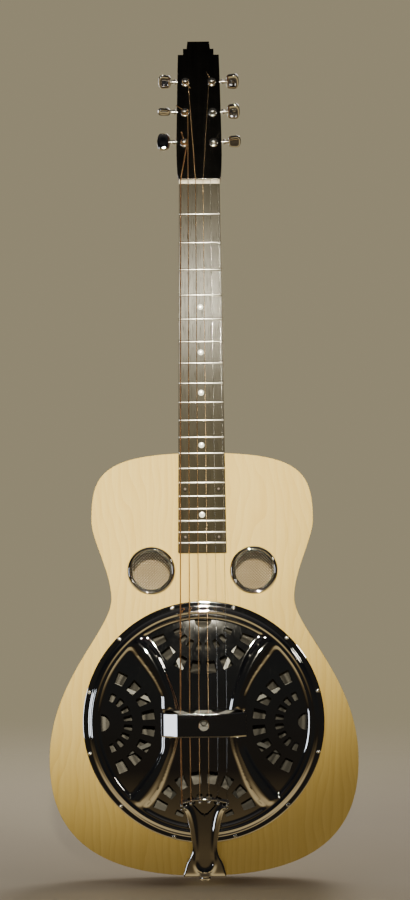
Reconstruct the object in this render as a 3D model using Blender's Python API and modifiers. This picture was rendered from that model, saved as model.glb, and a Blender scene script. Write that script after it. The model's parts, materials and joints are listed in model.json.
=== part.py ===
"""Spider-bridge resonator guitar, one object for each piece that comes off on a bench.

Every piece is modelled as the guitar lies on its back on a bench: +X to the treble side, +Y to the
headstock, +Z up from the back's outer face, with the origin under the resonator's axis. The empty
guitar_frame then stands it up, so in the world the strings face -Y and the headstock points +Z.
Lengths are in metres.
"""

import math

import bmesh
import bpy
from mathutils import Vector
from mathutils.geometry import interpolate_bezier

GAP = 0.0003  # between pieces that touch
CUT_THROUGH = 0.05  # how far a cutter runs past what it cuts
QUARTER_X = (math.pi / 2, 0, 0)

# Body
BODY_DEPTH = 0.088
TOP_THICKNESS = 0.005
BACK_THICKNESS = 0.004
RIM_THICKNESS = 0.003
NECK_END_Y = 0.3178
TAIL_END_Y = -0.182
UPPER_BOUT = (0.1309, 0.2378)  # half width, and where along the body
WAIST = (0.108, 0.1463)
LOWER_BOUT = (0.1826, -0.0446)
UPPER_PULL = (0.056, 0.0216)  # how far each bout's curve runs straight, towards the neck and the tail
WAIST_PULL = (0.031, 0.0377)
LOWER_PULL = (0.0945, 0.067)
NECK_END_HALF_FLAT = 0.1188
TAIL_END_PULL = 0.1552
OUTLINE_STEPS = 11
BLOCK_WIDTH = 0.075
NECK_BLOCK_LENGTH = 0.045
TAIL_BLOCK_LENGTH = 0.025

# Resonator
WELL_OUTER_RADIUS = 0.1405
WELL_INNER_RADIUS = 0.1365
LEDGE_RADIUS = 0.1285
LEDGE_HEIGHT = 0.07
LEDGE_THICKNESS = 0.006
PORT_RADIUS = 0.014
PORT_HEIGHT = 0.035
PORTS = 8
CONE_RADIUS = 0.1335
CONE_DEPTH = 0.03
CONE_THICKNESS = 0.0009
CONE_PEAK = 0.008  # the inner cone above the outer cone's foot
SPIDER_LEGS = 8
SPIDER_LEG = (0.0045, 0.0035)  # width and depth
SPIDER_FOOT = (0.0035, 0.0055, 0.004)
SPIDER_REACH = 0.129
HUB_RADIUS = 0.016
HUB_LOW = 0.084
HUB_HEIGHT = 0.007
CARRIER = (0.068, 0.009)  # saddle carrier, across and along
CARRIER_TOP = 0.096
SADDLE_LENGTH = 0.0275
SADDLE_THICKNESS = 0.0035
SCREW_RADIUS = 0.002
SCREW_CLEARANCE = 0.0005
SCREW_HEAD = (0.004, 0.0035)  # radius and height

# Coverplate
COVER_RADIUS = 0.1427
COVER_THICKNESS = 0.001
COVER_STEPS = 40
DOME_RADIUS = 0.128
DOME_EDGE = 0.003  # above the top plate
DOME_RISE = 0.0069
COVER_STEP = ((0.131, 0.0038), (0.1345, 0.0034))  # radius, and height above the top plate
COVER_FLANGE_RADIUS = 0.137
COVER_OPENING = (0.092, 0.030)
FAN_DISTANCE = 0.1215
FAN_HOLES = 8
FAN_PITCH = math.radians(18.6)
FAN_ROWS = ((0.0325, 0.010, math.radians(5.3)), (0.057, 0.015, math.radians(5.5)))
FAN_EYE_RADIUS = 0.0103
HANDREST = (0.101, 0.0285)
HANDREST_TOP = 0.112
HANDREST_BENDS = ((0.0504, 0.0992), (0.0480, 0.1016), (0.0325, 0.1108), (0.0295, 0.112))  # half width, height
HANDREST_HOLE_RADIUS = 0.0062
HANDREST_Y = -0.002
SHEET = 0.0012

# Screens
SCREEN_X = 0.0606
SCREEN_Y = 0.179
SCREEN_RADIUS = 0.0288
SCREEN_SEAT_RADIUS = 0.0225
MESH_RADIUS = 0.0219

# Tailpiece and end pin
TAIL_BEND = TAIL_END_Y - SHEET - GAP  # where the tailpiece's foot hangs down over the rim
TAIL_CHAMFER = 0.001
TAIL_FOOT_LOW = 0.030
PIN_HEIGHT = 0.044
PIN_RADIUS = 0.004
PIN_HEAD_RADIUS = 0.0068
PIN_WAIST_RADIUS = 0.0045
PIN_DEPTH = 0.024  # into the tail block

# Neck
SCALE_LENGTH = 0.635
FRETS = 19
FRET_WIDTH = 0.0027
FRET_HEIGHT = 0.0011
FINGERBOARD_END_Y = 0.200
FINGERBOARD_THICKNESS = 0.007
NECK_SIDES = 12
NUT_WIDTH = 0.048
END_WIDTH = 0.0572
NUT_LENGTH = 0.0053
NECK_BACK = 0.021  # shaft depth under the fingerboard at the nut
NECK_TAPER = 0.004  # deeper at the resonator's axis
HEEL_DEPTH = 0.078
HEEL_LENGTH = 0.052
HEEL_NARROWING = 0.35
HEEL_SWEEP = 2.2  # how sharply the heel curves into the shaft

# Headstock
HEAD_TILT = math.radians(10)
HEAD_CORE = 0.013
HEAD_PLATE = 0.002
HEAD_HALF_WIDTHS = ((0.0005, 0.0245), (0.012, 0.0262), (0.045, 0.0268), (0.120, 0.0253), (0.154, 0.0244))
CREST_STEPS = ((0.0182, 0.1614), (0.0140, 0.1704))  # half width, and top, of each step
CREST_TOP_HALF_WIDTH = 0.0129

# Tuning machines, in a frame whose origin is the middle post's foot on the back of the headstock
MACHINE_SPACING = 0.0373
MACHINE_X = 0.0165
MACHINE_Y = 0.0825
MACHINE_TOE_IN = math.radians(1.36)
PLATE_SIZE = (0.0165, 0.1015, 0.0012)
PLATE_SHIFT = (0.0012, 0.00125)  # outwards, and towards the crest
PLATE_HOLE_RADIUS = 0.0034
POST_RADIUS = 0.003
POST_TOP = 0.0115  # above the headstock's core
POST_HOLE_RADIUS = 0.0036
STRING_HOLE_RADIUS = 0.0009
STRING_HOLE_DROP = 0.0035  # below the post's top
WINDING_HEIGHT = 0.0045  # above the headplate
WHEEL_TEETH = 14
WHEEL_PITCH_RADIUS = 0.0045
WHEEL_OUTER_RADIUS = 0.0049
WHEEL_ROOT_RADIUS = 0.0039
WHEEL_THICKNESS = 0.0025
WHEEL_TOP = 0.0031  # below the headstock's back
WORM_PITCH_RADIUS = 0.002
WORM_OUTER_RADIUS = 0.00245
WORM_ROOT_RADIUS = 0.0014
WORM_LENGTH = 0.0054
WORM_SIDES = 10
WORM_STEPS = 16
STEM = ((0.0112, 0.0014), (0.0114, 0.0031), (0.0140, 0.0031), (0.0144, 0.0022), (0.0200, 0.0022))
THREAD_SHARE = 0.35  # of the pitch
EAR = (0.0012, 0.0050, 0.0065)
EAR_X = 0.0038
EAR_HOLE_RADIUS = 0.00158
SHAFT_START = 0.0052  # behind the post's axis
THREAD_RUN_OUT = 0.0001
KNOB_START = 0.0175
KNOB_SIZE = (0.0152, 0.022, 0.006)
KNOB_ANGLES = {"bass": (0, 90, 60), "treble": (70, 50, 50)}  # from the nut end, at rest

# Strings, from bass to treble
STRING_RADII = (0.00068, 0.00054, 0.00043, 0.00033, 0.00021, 0.00019)
NUT_SPACING = 0.0088
SADDLE_SPACING = 0.01104
TAIL_SPACING = 0.0107
STRING_AT_NUT = 0.0972
STRING_AT_SADDLE = 0.1026
STRING_AT_TAIL = 0.0976
TAIL_HOOK_Y = -0.092

PALETTE = {
    "maple": ((0.78, 0.66, 0.45), 0.5, 0.0),
    "plywood": ((0.45, 0.29, 0.15), 0.6, 0.0),
    "mahogany": ((0.30, 0.15, 0.07), 0.45, 0.0),
    "rosewood": ((0.09, 0.055, 0.035), 0.5, 0.0),
    "ebonised": ((0.012, 0.011, 0.011), 0.25, 0.0),
    "bone": ((0.85, 0.80, 0.66), 0.35, 0.0),
    "chrome": ((0.82, 0.83, 0.85), 0.08, 1.0),
    "nickel_silver": ((0.72, 0.70, 0.64), 0.22, 1.0),
    "aluminium": ((0.75, 0.76, 0.77), 0.35, 1.0),
    "bronze": ((0.62, 0.40, 0.20), 0.3, 1.0),
    "steel": ((0.60, 0.60, 0.61), 0.25, 1.0),
}

parts = bpy.data.collections.new("resonator_guitar")
cutters = bpy.data.collections.new("cutters")


# ---------------------------------------------------------------- shared helpers

def clear_scene():
    for old in list(bpy.data.objects):
        bpy.data.objects.remove(old, do_unlink=True)
    for collection in (parts, cutters):
        bpy.context.scene.collection.children.link(collection)


def empty(name, location=(0, 0, 0), rotation=(0, 0, 0), parent=None):
    """A frame that pieces hang from."""
    frame = bpy.data.objects.new(name, None)
    frame.location = location
    frame.rotation_euler = rotation
    frame.parent = parent
    parts.objects.link(frame)
    return frame


def mesh_object(name, mesh, parent, location=(0, 0, 0), rotation=(0, 0, 0)):
    made = bpy.data.objects.new(name, mesh)
    made.location = location
    made.rotation_euler = rotation
    made.parent = parent
    parts.objects.link(made)
    return made


def finish(piece, look, smooth_angle=40):
    """Give a piece its own material and smooth shading up to smooth_angle degrees."""
    colour, roughness, metallic = PALETTE[look]
    material = bpy.data.materials.new(f"{piece.name}_{look}")
    material.use_nodes = True
    shader = material.node_tree.nodes["Principled BSDF"]
    shader.inputs["Base Color"].default_value = (*colour, 1.0)
    shader.inputs["Roughness"].default_value = roughness
    shader.inputs["Metallic"].default_value = metallic
    material.diffuse_color = (*colour, 1.0)
    piece.data.materials.clear()
    piece.data.materials.append(material)
    piece.data.shade_smooth()
    piece.data.set_sharp_from_angle(angle=math.radians(smooth_angle))
    return piece


def as_cutter(piece):
    """Move a piece out of the parts, so that it only shapes others."""
    piece.hide_render = True
    piece.display_type = "WIRE"
    parts.objects.unlink(piece)
    cutters.objects.link(piece)
    return piece


def boolean(piece, operation, others):
    for other in others:
        as_cutter(other)
        modifier = piece.modifiers.new(f"{operation.lower()}_{other.name}", "BOOLEAN")
        modifier.operation = operation
        modifier.solver = "EXACT"
        modifier.object = other
    return piece


def circle(radius, sides=24, centre=(0, 0)):
    turns = [math.tau * i / sides for i in range(sides)]
    return [(centre[0] + radius * math.cos(turn), centre[1] + radius * math.sin(turn)) for turn in turns]


def plate(name, loops, thickness, parent, location=(0, 0, 0), rotation=(0, 0, 0)):
    """A flat piece standing up by its thickness: the first loop is its edge and the others are holes."""
    curve = bpy.data.curves.new(name, "CURVE")
    curve.dimensions = "2D"
    curve.fill_mode = "BOTH"
    curve.extrude = thickness / 2
    for loop in loops:
        spline = curve.splines.new("POLY")
        spline.points.add(len(loop) - 1)
        for point, (x, y) in zip(spline.points, loop):
            point.co = (x, y, 0, 1)
        spline.use_cyclic_u = True
    drawn = bpy.data.objects.new(name, curve)
    parts.objects.link(drawn)
    mesh = meshed(drawn)
    for vertex in mesh.vertices:
        vertex.co.z += thickness / 2
    return mesh_object(name, mesh, parent, location, rotation)


def meshed(drawn):
    """The welded mesh that a curve object evaluates to; the curve itself is removed."""
    bpy.context.view_layer.update()
    evaluated = drawn.evaluated_get(bpy.context.evaluated_depsgraph_get())
    mesh = bpy.data.meshes.new_from_object(evaluated)
    work = bmesh.new()
    work.from_mesh(mesh)
    bmesh.ops.remove_doubles(work, verts=work.verts, dist=1e-6)
    bmesh.ops.transform(work, matrix=drawn.matrix_world, verts=work.verts)
    work.to_mesh(mesh)
    work.free()
    name = drawn.name
    bpy.data.objects.remove(drawn, do_unlink=True)
    mesh.name = name
    return mesh


def box(name, size, parent, location=(0, 0, 0), rotation=(0, 0, 0), bevel=0.0):
    """A box about its location."""
    work = bmesh.new()
    bmesh.ops.create_cube(work, size=1.0)
    bmesh.ops.scale(work, vec=size, verts=work.verts)
    mesh = bpy.data.meshes.new(name)
    work.to_mesh(mesh)
    work.free()
    made = mesh_object(name, mesh, parent, location, rotation)
    if bevel:
        modifier = made.modifiers.new("edges", "BEVEL")
        modifier.width = bevel
        modifier.segments = 2
    return made


def cylinder(name, radius, low, high, parent, location=(0, 0, 0), rotation=(0, 0, 0), sides=16):
    """A cylinder along its own Z from low to high."""
    work = bmesh.new()
    bmesh.ops.create_cone(
        work, cap_ends=True, segments=sides, radius1=radius, radius2=radius, depth=high - low
    )
    bmesh.ops.translate(work, vec=(0, 0, (low + high) / 2), verts=work.verts)
    mesh = bpy.data.meshes.new(name)
    work.to_mesh(mesh)
    work.free()
    return mesh_object(name, mesh, parent, location, rotation)


def turned(name, profile, steps, parent, location=(0, 0, 0), rotation=(0, 0, 0), thickness=0.0):
    """A profile of (radius, height) points, top to bottom on its outer side, turned about Z."""
    mesh = bpy.data.meshes.new(name)
    points = [(radius, 0, height) for radius, height in profile]
    mesh.from_pydata(points, [(i, i + 1) for i in range(len(points) - 1)], [])
    made = mesh_object(name, mesh, parent, location, rotation)
    screw = made.modifiers.new("turn", "SCREW")
    screw.axis = "Z"
    screw.steps = steps
    screw.render_steps = steps
    screw.use_merge_vertices = True
    screw.merge_threshold = 1e-5
    if thickness:
        add_thickness(made, thickness)
    return made


def turned_ring(name, section, steps, parent, location=(0, 0, 0)):
    """A closed section of (radius, height) points turned about Z."""
    return turned(name, [*section, section[0]], steps, parent, location)


def add_thickness(piece, thickness):
    """Makes a sheet solid, inwards from the side that its faces look out from."""
    modifier = piece.modifiers.new("sheet", "SOLIDIFY")
    modifier.thickness = thickness
    modifier.offset = -1.0
    modifier.use_even_offset = True
    return piece


def loft(name, rings, parent, location=(0, 0, 0), rotation=(0, 0, 0)):
    """A closed skin through rings of equal length, wound the same way, with flat ends."""
    work = bmesh.new()
    skinned = [[work.verts.new(point) for point in ring] for ring in rings]
    count = len(rings[0])
    for ring, following in zip(skinned, skinned[1:]):
        for i in range(count):
            j = (i + 1) % count
            work.faces.new((ring[i], ring[j], following[j], following[i]))
    work.faces.new(skinned[0])
    work.faces.new(skinned[-1])
    bmesh.ops.recalc_face_normals(work, faces=work.faces)
    mesh = bpy.data.meshes.new(name)
    work.to_mesh(mesh)
    work.free()
    return mesh_object(name, mesh, parent, location, rotation)


def ribbon(name, points, width, parent, location=(0, 0, 0)):
    """A strip of the given width along Y whose (x, z) points run across it."""
    work = bmesh.new()
    rows = [[work.verts.new((x, side * width / 2, z)) for x, z in points] for side in (-1, 1)]
    for i in range(len(points) - 1):
        work.faces.new((rows[0][i], rows[0][i + 1], rows[1][i + 1], rows[1][i]))
    mesh = bpy.data.meshes.new(name)
    work.to_mesh(mesh)
    work.free()
    return mesh_object(name, mesh, parent, location)


# ---------------------------------------------------------------- the body

def bout_node(widest, pull):
    """A bout's widest point between its two curve handles."""
    half_width, along = widest
    return ((half_width, along + pull[0]), widest, (half_width, along - pull[1]))


def body_outline(inset=0.0):
    """The body's closed outline, moved in by inset."""
    nodes = [
        ((0, NECK_END_Y), (NECK_END_HALF_FLAT, NECK_END_Y)),
        bout_node(UPPER_BOUT, UPPER_PULL),
        bout_node(WAIST, WAIST_PULL),
        bout_node(LOWER_BOUT, LOWER_PULL),
        ((TAIL_END_PULL, TAIL_END_Y), (0, TAIL_END_Y)),
    ]
    half = []
    for here, there in zip(nodes, nodes[1:]):
        knots = [Vector(here[-2]), Vector(here[-1]), Vector(there[0]), Vector(there[1])]
        half += interpolate_bezier(*knots, OUTLINE_STEPS)[:-1]
    half.append(Vector((0, TAIL_END_Y)))
    right = [(point.x, point.y) for point in half]
    outline = right + [(-x, y) for x, y in right[-2:0:-1]]
    if not inset:
        return outline
    count = len(outline)
    moved = []
    for i, (x, y) in enumerate(outline):
        along = Vector(outline[(i + 1) % count]) - Vector(outline[i - 1])
        along.normalize()
        moved.append((x + along.y * inset, y - along.x * inset))
    return moved


def make_body(frame):
    screen_holes = [circle(SCREEN_SEAT_RADIUS + GAP, 32, (side * SCREEN_X, SCREEN_Y)) for side in (-1, 1)]
    well_hole = circle(WELL_INNER_RADIUS, 64)
    top_low = BODY_DEPTH - TOP_THICKNESS
    top_loops = [body_outline(), well_hole, *screen_holes]
    finish(plate("top_plate", top_loops, TOP_THICKNESS, frame, (0, 0, top_low)), "maple")
    finish(plate("back_plate", [body_outline()], BACK_THICKNESS, frame), "plywood")

    inside_low = BACK_THICKNESS + GAP
    inside_height = top_low - GAP - inside_low
    rim = plate(
        "side_rim", [body_outline(), body_outline(RIM_THICKNESS)], inside_height, frame, (0, 0, inside_low)
    )
    place = (0, TAIL_END_Y, PIN_HEIGHT)
    pin_hole = cylinder("pin_hole", PIN_RADIUS + GAP, -CUT_THROUGH, CUT_THROUGH, frame, place, QUARTER_X, 12)
    boolean(rim, "DIFFERENCE", [pin_hole])
    finish(rim, "plywood")

    blocks = (
        ("neck_block", NECK_END_Y, NECK_BLOCK_LENGTH),
        ("tail_block", TAIL_END_Y, TAIL_BLOCK_LENGTH),
    )
    for name, end, length in blocks:
        block = plate(name, [body_outline(RIM_THICKNESS + GAP)], inside_height, frame, (0, 0, inside_low))
        size = (BLOCK_WIDTH, 2 * (length + RIM_THICKNESS), 2 * BODY_DEPTH)
        boolean(block, "INTERSECT", [box(f"{name}_region", size, frame, (0, end, 0))])
        finish(block, "mahogany")
    bored = bpy.data.objects["tail_block"].modifiers.new("pin_hole", "BOOLEAN")
    bored.object = pin_hole

    well_top = top_low - GAP
    section = [
        (WELL_OUTER_RADIUS, well_top),
        (WELL_OUTER_RADIUS, inside_low),
        (WELL_INNER_RADIUS, inside_low),
        (WELL_INNER_RADIUS, LEDGE_HEIGHT - LEDGE_THICKNESS),
        (LEDGE_RADIUS, LEDGE_HEIGHT - LEDGE_THICKNESS),
        (LEDGE_RADIUS, LEDGE_HEIGHT),
        (WELL_INNER_RADIUS, LEDGE_HEIGHT),
        (WELL_INNER_RADIUS, well_top),
    ]
    well = turned_ring("soundwell", section, 36, frame)
    ports = []
    reach = WELL_OUTER_RADIUS + CUT_THROUGH
    for i in range(PORTS // 2):
        turn = math.tau * (i + 0.5) / PORTS
        rotation = (math.pi / 2, 0, turn)
        port = cylinder(f"port_{i}", PORT_RADIUS, -reach, reach, frame, (0, 0, PORT_HEIGHT), rotation, 12)
        ports.append(port)
    boolean(well, "DIFFERENCE", ports)
    finish(well, "plywood")


def make_screens(frame):
    """Each screen is a ring with a rolled lip, holding a disc that stands for the woven mesh."""
    rim = BODY_DEPTH + GAP
    profile = [
        (0, rim + 0.0008),
        (MESH_RADIUS, rim + 0.0008),
        (MESH_RADIUS + 0.001, rim + 0.0024),
        (MESH_RADIUS + 0.0032, rim + 0.003),
        (SCREEN_RADIUS - 0.0008, rim + 0.0012),
        (SCREEN_RADIUS, rim),
        (SCREEN_SEAT_RADIUS, rim),
        (SCREEN_SEAT_RADIUS, BODY_DEPTH - TOP_THICKNESS),
        (MESH_RADIUS, BODY_DEPTH - TOP_THICKNESS),
        (MESH_RADIUS, rim),
        (0, rim),
    ]
    for side, name in ((-1, "screen_left"), (1, "screen_right")):
        finish(turned(name, profile, 24, frame, (side * SCREEN_X, SCREEN_Y, 0)), "chrome")


# ---------------------------------------------------------------- the resonator

def make_resonator(frame):
    lip = LEDGE_HEIGHT + GAP + CONE_THICKNESS
    floor = lip - CONE_DEPTH
    peak = floor + CONE_PEAK
    profile = [
        (SCREW_RADIUS + SCREW_CLEARANCE, peak),
        (0.010, peak - 0.001),
        (0.020, floor + 0.001),
        (0.030, floor),
        (0.118, lip - 0.003),
        (0.1215, lip - 0.003),
        (0.125, lip),
        (CONE_RADIUS, lip),
    ]
    finish(turned("resonator_cone", profile, 32, frame, thickness=CONE_THICKNESS), "aluminium")

    foot_low = lip + GAP
    hub = cylinder("spider_bridge", HUB_RADIUS, HUB_LOW, HUB_LOW + HUB_HEIGHT, frame, sides=24)
    inner = Vector((HUB_RADIUS * 0.6, HUB_LOW + HUB_HEIGHT / 2 - 0.0005))
    outer = Vector((SPIDER_REACH, foot_low + 0.0035))
    middle = (inner + outer) / 2
    slope = math.atan2(outer.y - inner.y, outer.x - inner.x)
    limbs = []
    for i in range(SPIDER_LEGS):
        turn = math.tau * (i + 0.5) / SPIDER_LEGS
        place = (middle.x * math.cos(turn), middle.x * math.sin(turn), middle.y)
        size = ((outer - inner).length, *SPIDER_LEG)
        limbs.append(box(f"leg_{i}", size, frame, place, (0, -slope, turn)))
        reach = outer.x - 0.002
        place = (reach * math.cos(turn), reach * math.sin(turn), foot_low + SPIDER_FOOT[2] / 2)
        limbs.append(box(f"foot_{i}", SPIDER_FOOT, frame, place, (0, 0, turn)))
    carrier_low = HUB_LOW + 0.004
    place = (0, 0, (carrier_low + CARRIER_TOP) / 2)
    limbs.append(box("carrier", (*CARRIER, CARRIER_TOP - carrier_low), frame, place))
    boolean(hub, "UNION", limbs)
    bore_high = CARRIER_TOP + CUT_THROUGH
    bore = cylinder("screw_bore", SCREW_RADIUS + SCREW_CLEARANCE, foot_low, bore_high, frame, sides=12)
    boolean(hub, "DIFFERENCE", [bore])
    finish(hub, "aluminium")

    saddle_low = CARRIER_TOP + GAP
    saddle_high = STRING_AT_SADDLE - GAP
    for side, name in ((-1, "saddle_bass"), (1, "saddle_treble")):
        size = (SADDLE_LENGTH, SADDLE_THICKNESS, saddle_high - saddle_low)
        place = (side * (CARRIER[0] - SADDLE_LENGTH) / 2, 0, (saddle_low + saddle_high) / 2)
        finish(box(name, size, frame, place, bevel=0.0004), "maple")

    head = CARRIER_TOP + GAP
    head_radius, head_height = SCREW_HEAD
    profile = [
        (0, head + head_height),
        (head_radius - 0.001, head + head_height),
        (head_radius, head + head_height - 0.001),
        (head_radius, head),
        (SCREW_RADIUS, head),
        (SCREW_RADIUS, peak - 0.004),
        (0, peak - 0.004),
    ]
    finish(turned("tension_screw", profile, 12, frame), "steel")


def dome_height(radius):
    """The coverplate's outer surface inside its step, above the back."""
    return BODY_DEPTH + DOME_EDGE + DOME_RISE * (1 - (radius / DOME_RADIUS) ** 2)


def fan_holes(turn):
    """One fan of openings: a half-round eye and two rows of slots around it, opening towards the centre."""
    focus = Vector((math.cos(turn), math.sin(turn))) * FAN_DISTANCE
    inward = turn + math.pi
    loops = []
    for reach, length, half_angle in FAN_ROWS:
        for i in range(FAN_HOLES):
            middle = inward + (i - (FAN_HOLES - 1) / 2) * FAN_PITCH
            corners = ((-1, -1), (1, -1), (1, 1), (-1, 1))
            loop = []
            for along, across in corners:
                angle = middle + across * half_angle
                radius = reach + along * length / 2
                loop.append((focus.x + radius * math.cos(angle), focus.y + radius * math.sin(angle)))
            loops.append(loop)
    eye = []
    for i in range(9):
        angle = inward - math.pi / 2 + math.pi * i / 8
        eye.append((focus.x + FAN_EYE_RADIUS * math.cos(angle), focus.y + FAN_EYE_RADIUS * math.sin(angle)))
    return [*loops, eye]


def make_coverplate(frame):
    dome = [(DOME_RADIUS * i / 4, dome_height(DOME_RADIUS * i / 4)) for i in range(1, 5)]
    flange = BODY_DEPTH + GAP + COVER_THICKNESS
    step = [(radius, BODY_DEPTH + height) for radius, height in COVER_STEP]
    step += [(COVER_FLANGE_RADIUS, flange), (COVER_RADIUS, flange)]
    cover = turned("coverplate", dome + step, COVER_STEPS, frame, thickness=COVER_THICKNESS)
    across, along = COVER_OPENING[0] / 2, COVER_OPENING[1] / 2
    loops = [[(-across, -along), (across, -along), (across, along), (-across, along)]]
    for quarter in range(4):
        loops += fan_holes(quarter * math.pi / 2)
    piercings = plate("piercings", loops, CUT_THROUGH, frame, (0, 0, BODY_DEPTH - CUT_THROUGH / 2))
    boolean(cover, "DIFFERENCE", [piercings])
    finish(cover, "chrome")

    half = HANDREST[0] / 2
    foot = dome_height(half) + GAP
    side = [(half, foot), *HANDREST_BENDS]
    points = [(-x, z) for x, z in side] + side[::-1]
    rest = ribbon("handrest", points, HANDREST[1], frame, (0, HANDREST_Y, 0))
    add_thickness(rest, SHEET)
    high = HANDREST_TOP + CUT_THROUGH
    hole = cylinder("handrest_hole", HANDREST_HOLE_RADIUS, foot, high, frame, (0, HANDREST_Y, 0), sides=20)
    boolean(rest, "DIFFERENCE", [hole])
    finish(rest, "chrome")


# ---------------------------------------------------------------- tailpiece and end pin

def tailpiece_blank():
    """The outline before bending: x, and the distance along the sheet from the hooks."""
    right = [
        (0.0, 0.020),
        (0.0055, 0.0135),
        (0.0115, 0.0095),
        (0.0155, 0.0035),
        (0.0205, 0.0),
        (0.0265, 0.001),
        (0.0288, 0.006),
        (0.0262, 0.0125),
        (0.0205, 0.0215),
        (0.0158, 0.034),
        (0.0135, 0.049),
        (0.0150, 0.062),
        (0.0200, 0.074),
        (0.0255, 0.084),
        (0.0255, 0.100),
        (0.0215, 0.130),
        (0.0150, 0.148),
    ]
    return right + [(-x, s) for x, s in reversed(right) if x > 0]


def tailpiece_path():
    """The sheet's outer surface along the guitar, as (y, z) points from the hooks to the foot."""
    edge = BODY_DEPTH + GAP
    return [
        (-0.0885, 0.0973),
        (-0.131, 0.0940),
        (-0.141, 0.0931),
        (-0.162, 0.0914),
        (TAIL_BEND + TAIL_CHAMFER, edge + SHEET),
        (TAIL_BEND, edge + SHEET - TAIL_CHAMFER),
        (TAIL_BEND, TAIL_FOOT_LOW),
    ]


def make_tailpiece(frame):
    path = [Vector(point) for point in tailpiece_path()]
    lengths = [0.0]
    for here, there in zip(path, path[1:]):
        lengths.append(lengths[-1] + (there - here).length)
    blank = [(x, min(s, lengths[-1])) for x, s in tailpiece_blank()]

    work = bmesh.new()
    corners = [work.verts.new((x, s, 0)) for x, s in blank]
    work.faces.new(corners)
    for length in lengths[1:-1]:
        geometry = work.verts[:] + work.edges[:] + work.faces[:]
        bmesh.ops.bisect_plane(work, geom=geometry, dist=1e-6, plane_co=(0, length, 0), plane_no=(0, 1, 0))
    for vertex in work.verts:
        index = max(i for i in range(len(path) - 1) if i == 0 or lengths[i] <= vertex.co.y + 1e-7)
        share = (vertex.co.y - lengths[index]) / (lengths[index + 1] - lengths[index])
        place = path[index].lerp(path[index + 1], share)
        vertex.co = (vertex.co.x, place.x, place.y)
    bmesh.ops.triangulate(work, faces=work.faces)
    if sum(face.normal.z for face in work.faces) < 0:
        bmesh.ops.reverse_faces(work, faces=work.faces)
    mesh = bpy.data.meshes.new("tailpiece")
    work.to_mesh(mesh)
    work.free()
    piece = mesh_object("tailpiece", mesh, frame)
    add_thickness(piece, SHEET)
    place = (0, TAIL_BEND, PIN_HEIGHT)
    radius = PIN_RADIUS + GAP
    hole = cylinder("tailpiece_hole", radius, -CUT_THROUGH, CUT_THROUGH, frame, place, QUARTER_X, 12)
    boolean(piece, "DIFFERENCE", [hole])
    finish(piece, "chrome")

    shoulder = TAIL_END_Y - TAIL_BEND + GAP
    profile = [
        (0, shoulder + 0.0115),
        (PIN_HEAD_RADIUS - 0.0018, shoulder + 0.0115),
        (PIN_HEAD_RADIUS, shoulder + 0.0095),
        (PIN_HEAD_RADIUS, shoulder + 0.0075),
        (PIN_WAIST_RADIUS, shoulder + 0.0045),
        (PIN_WAIST_RADIUS + 0.0005, shoulder + 0.0015),
        (PIN_HEAD_RADIUS + 0.0004, shoulder),
        (PIN_RADIUS, shoulder),
        (PIN_RADIUS * 0.8, -PIN_DEPTH),
        (0, -PIN_DEPTH),
    ]
    finish(turned("end_pin", profile, 20, frame, (0, TAIL_END_Y, PIN_HEIGHT), QUARTER_X), "chrome")


# ---------------------------------------------------------------- the neck

def neck_width(y):
    share = (SCALE_LENGTH - y) / (SCALE_LENGTH - FINGERBOARD_END_Y)
    return NUT_WIDTH + (END_WIDTH - NUT_WIDTH) * share


def fret_y(number):
    return SCALE_LENGTH * 2 ** (-number / 12)


def neck_section(y):
    """The neck's D-shaped section, deepening into the heel near the body and thinning at the headstock."""
    half = neck_width(y) / 2
    depth = NECK_BACK + NECK_TAPER * (SCALE_LENGTH - y) / SCALE_LENGTH
    near = max(0.0, 1 - (y - NECK_END_Y) / HEEL_LENGTH)
    heel = near ** HEEL_SWEEP
    depth += (HEEL_DEPTH - depth) * heel
    top = BODY_DEPTH
    past_nut = max(0.0, y - SCALE_LENGTH - NUT_LENGTH)
    top -= past_nut * math.tan(HEAD_TILT) * 1.15
    depth -= past_nut * 0.5
    ring = []
    for i in range(NECK_SIDES + 1):
        angle = math.pi * i / NECK_SIDES
        across = math.copysign(abs(math.cos(angle)) ** 0.75, math.cos(angle))
        down = math.sin(angle) ** 0.85
        narrow = 1 - HEEL_NARROWING * heel * down
        ring.append((half * across * narrow, y, top - depth * down))
    return ring


def headstock_outline():
    right = [(half, y) for y, half in HEAD_HALF_WIDTHS]
    shoulder = HEAD_HALF_WIDTHS[-1][0]
    for half, top in CREST_STEPS:
        right += [(half, shoulder), (half, top)]
        shoulder = top
    right[-1] = (CREST_TOP_HALF_WIDTH, shoulder)
    return right + [(-x, y) for x, y in reversed(right)]


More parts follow.
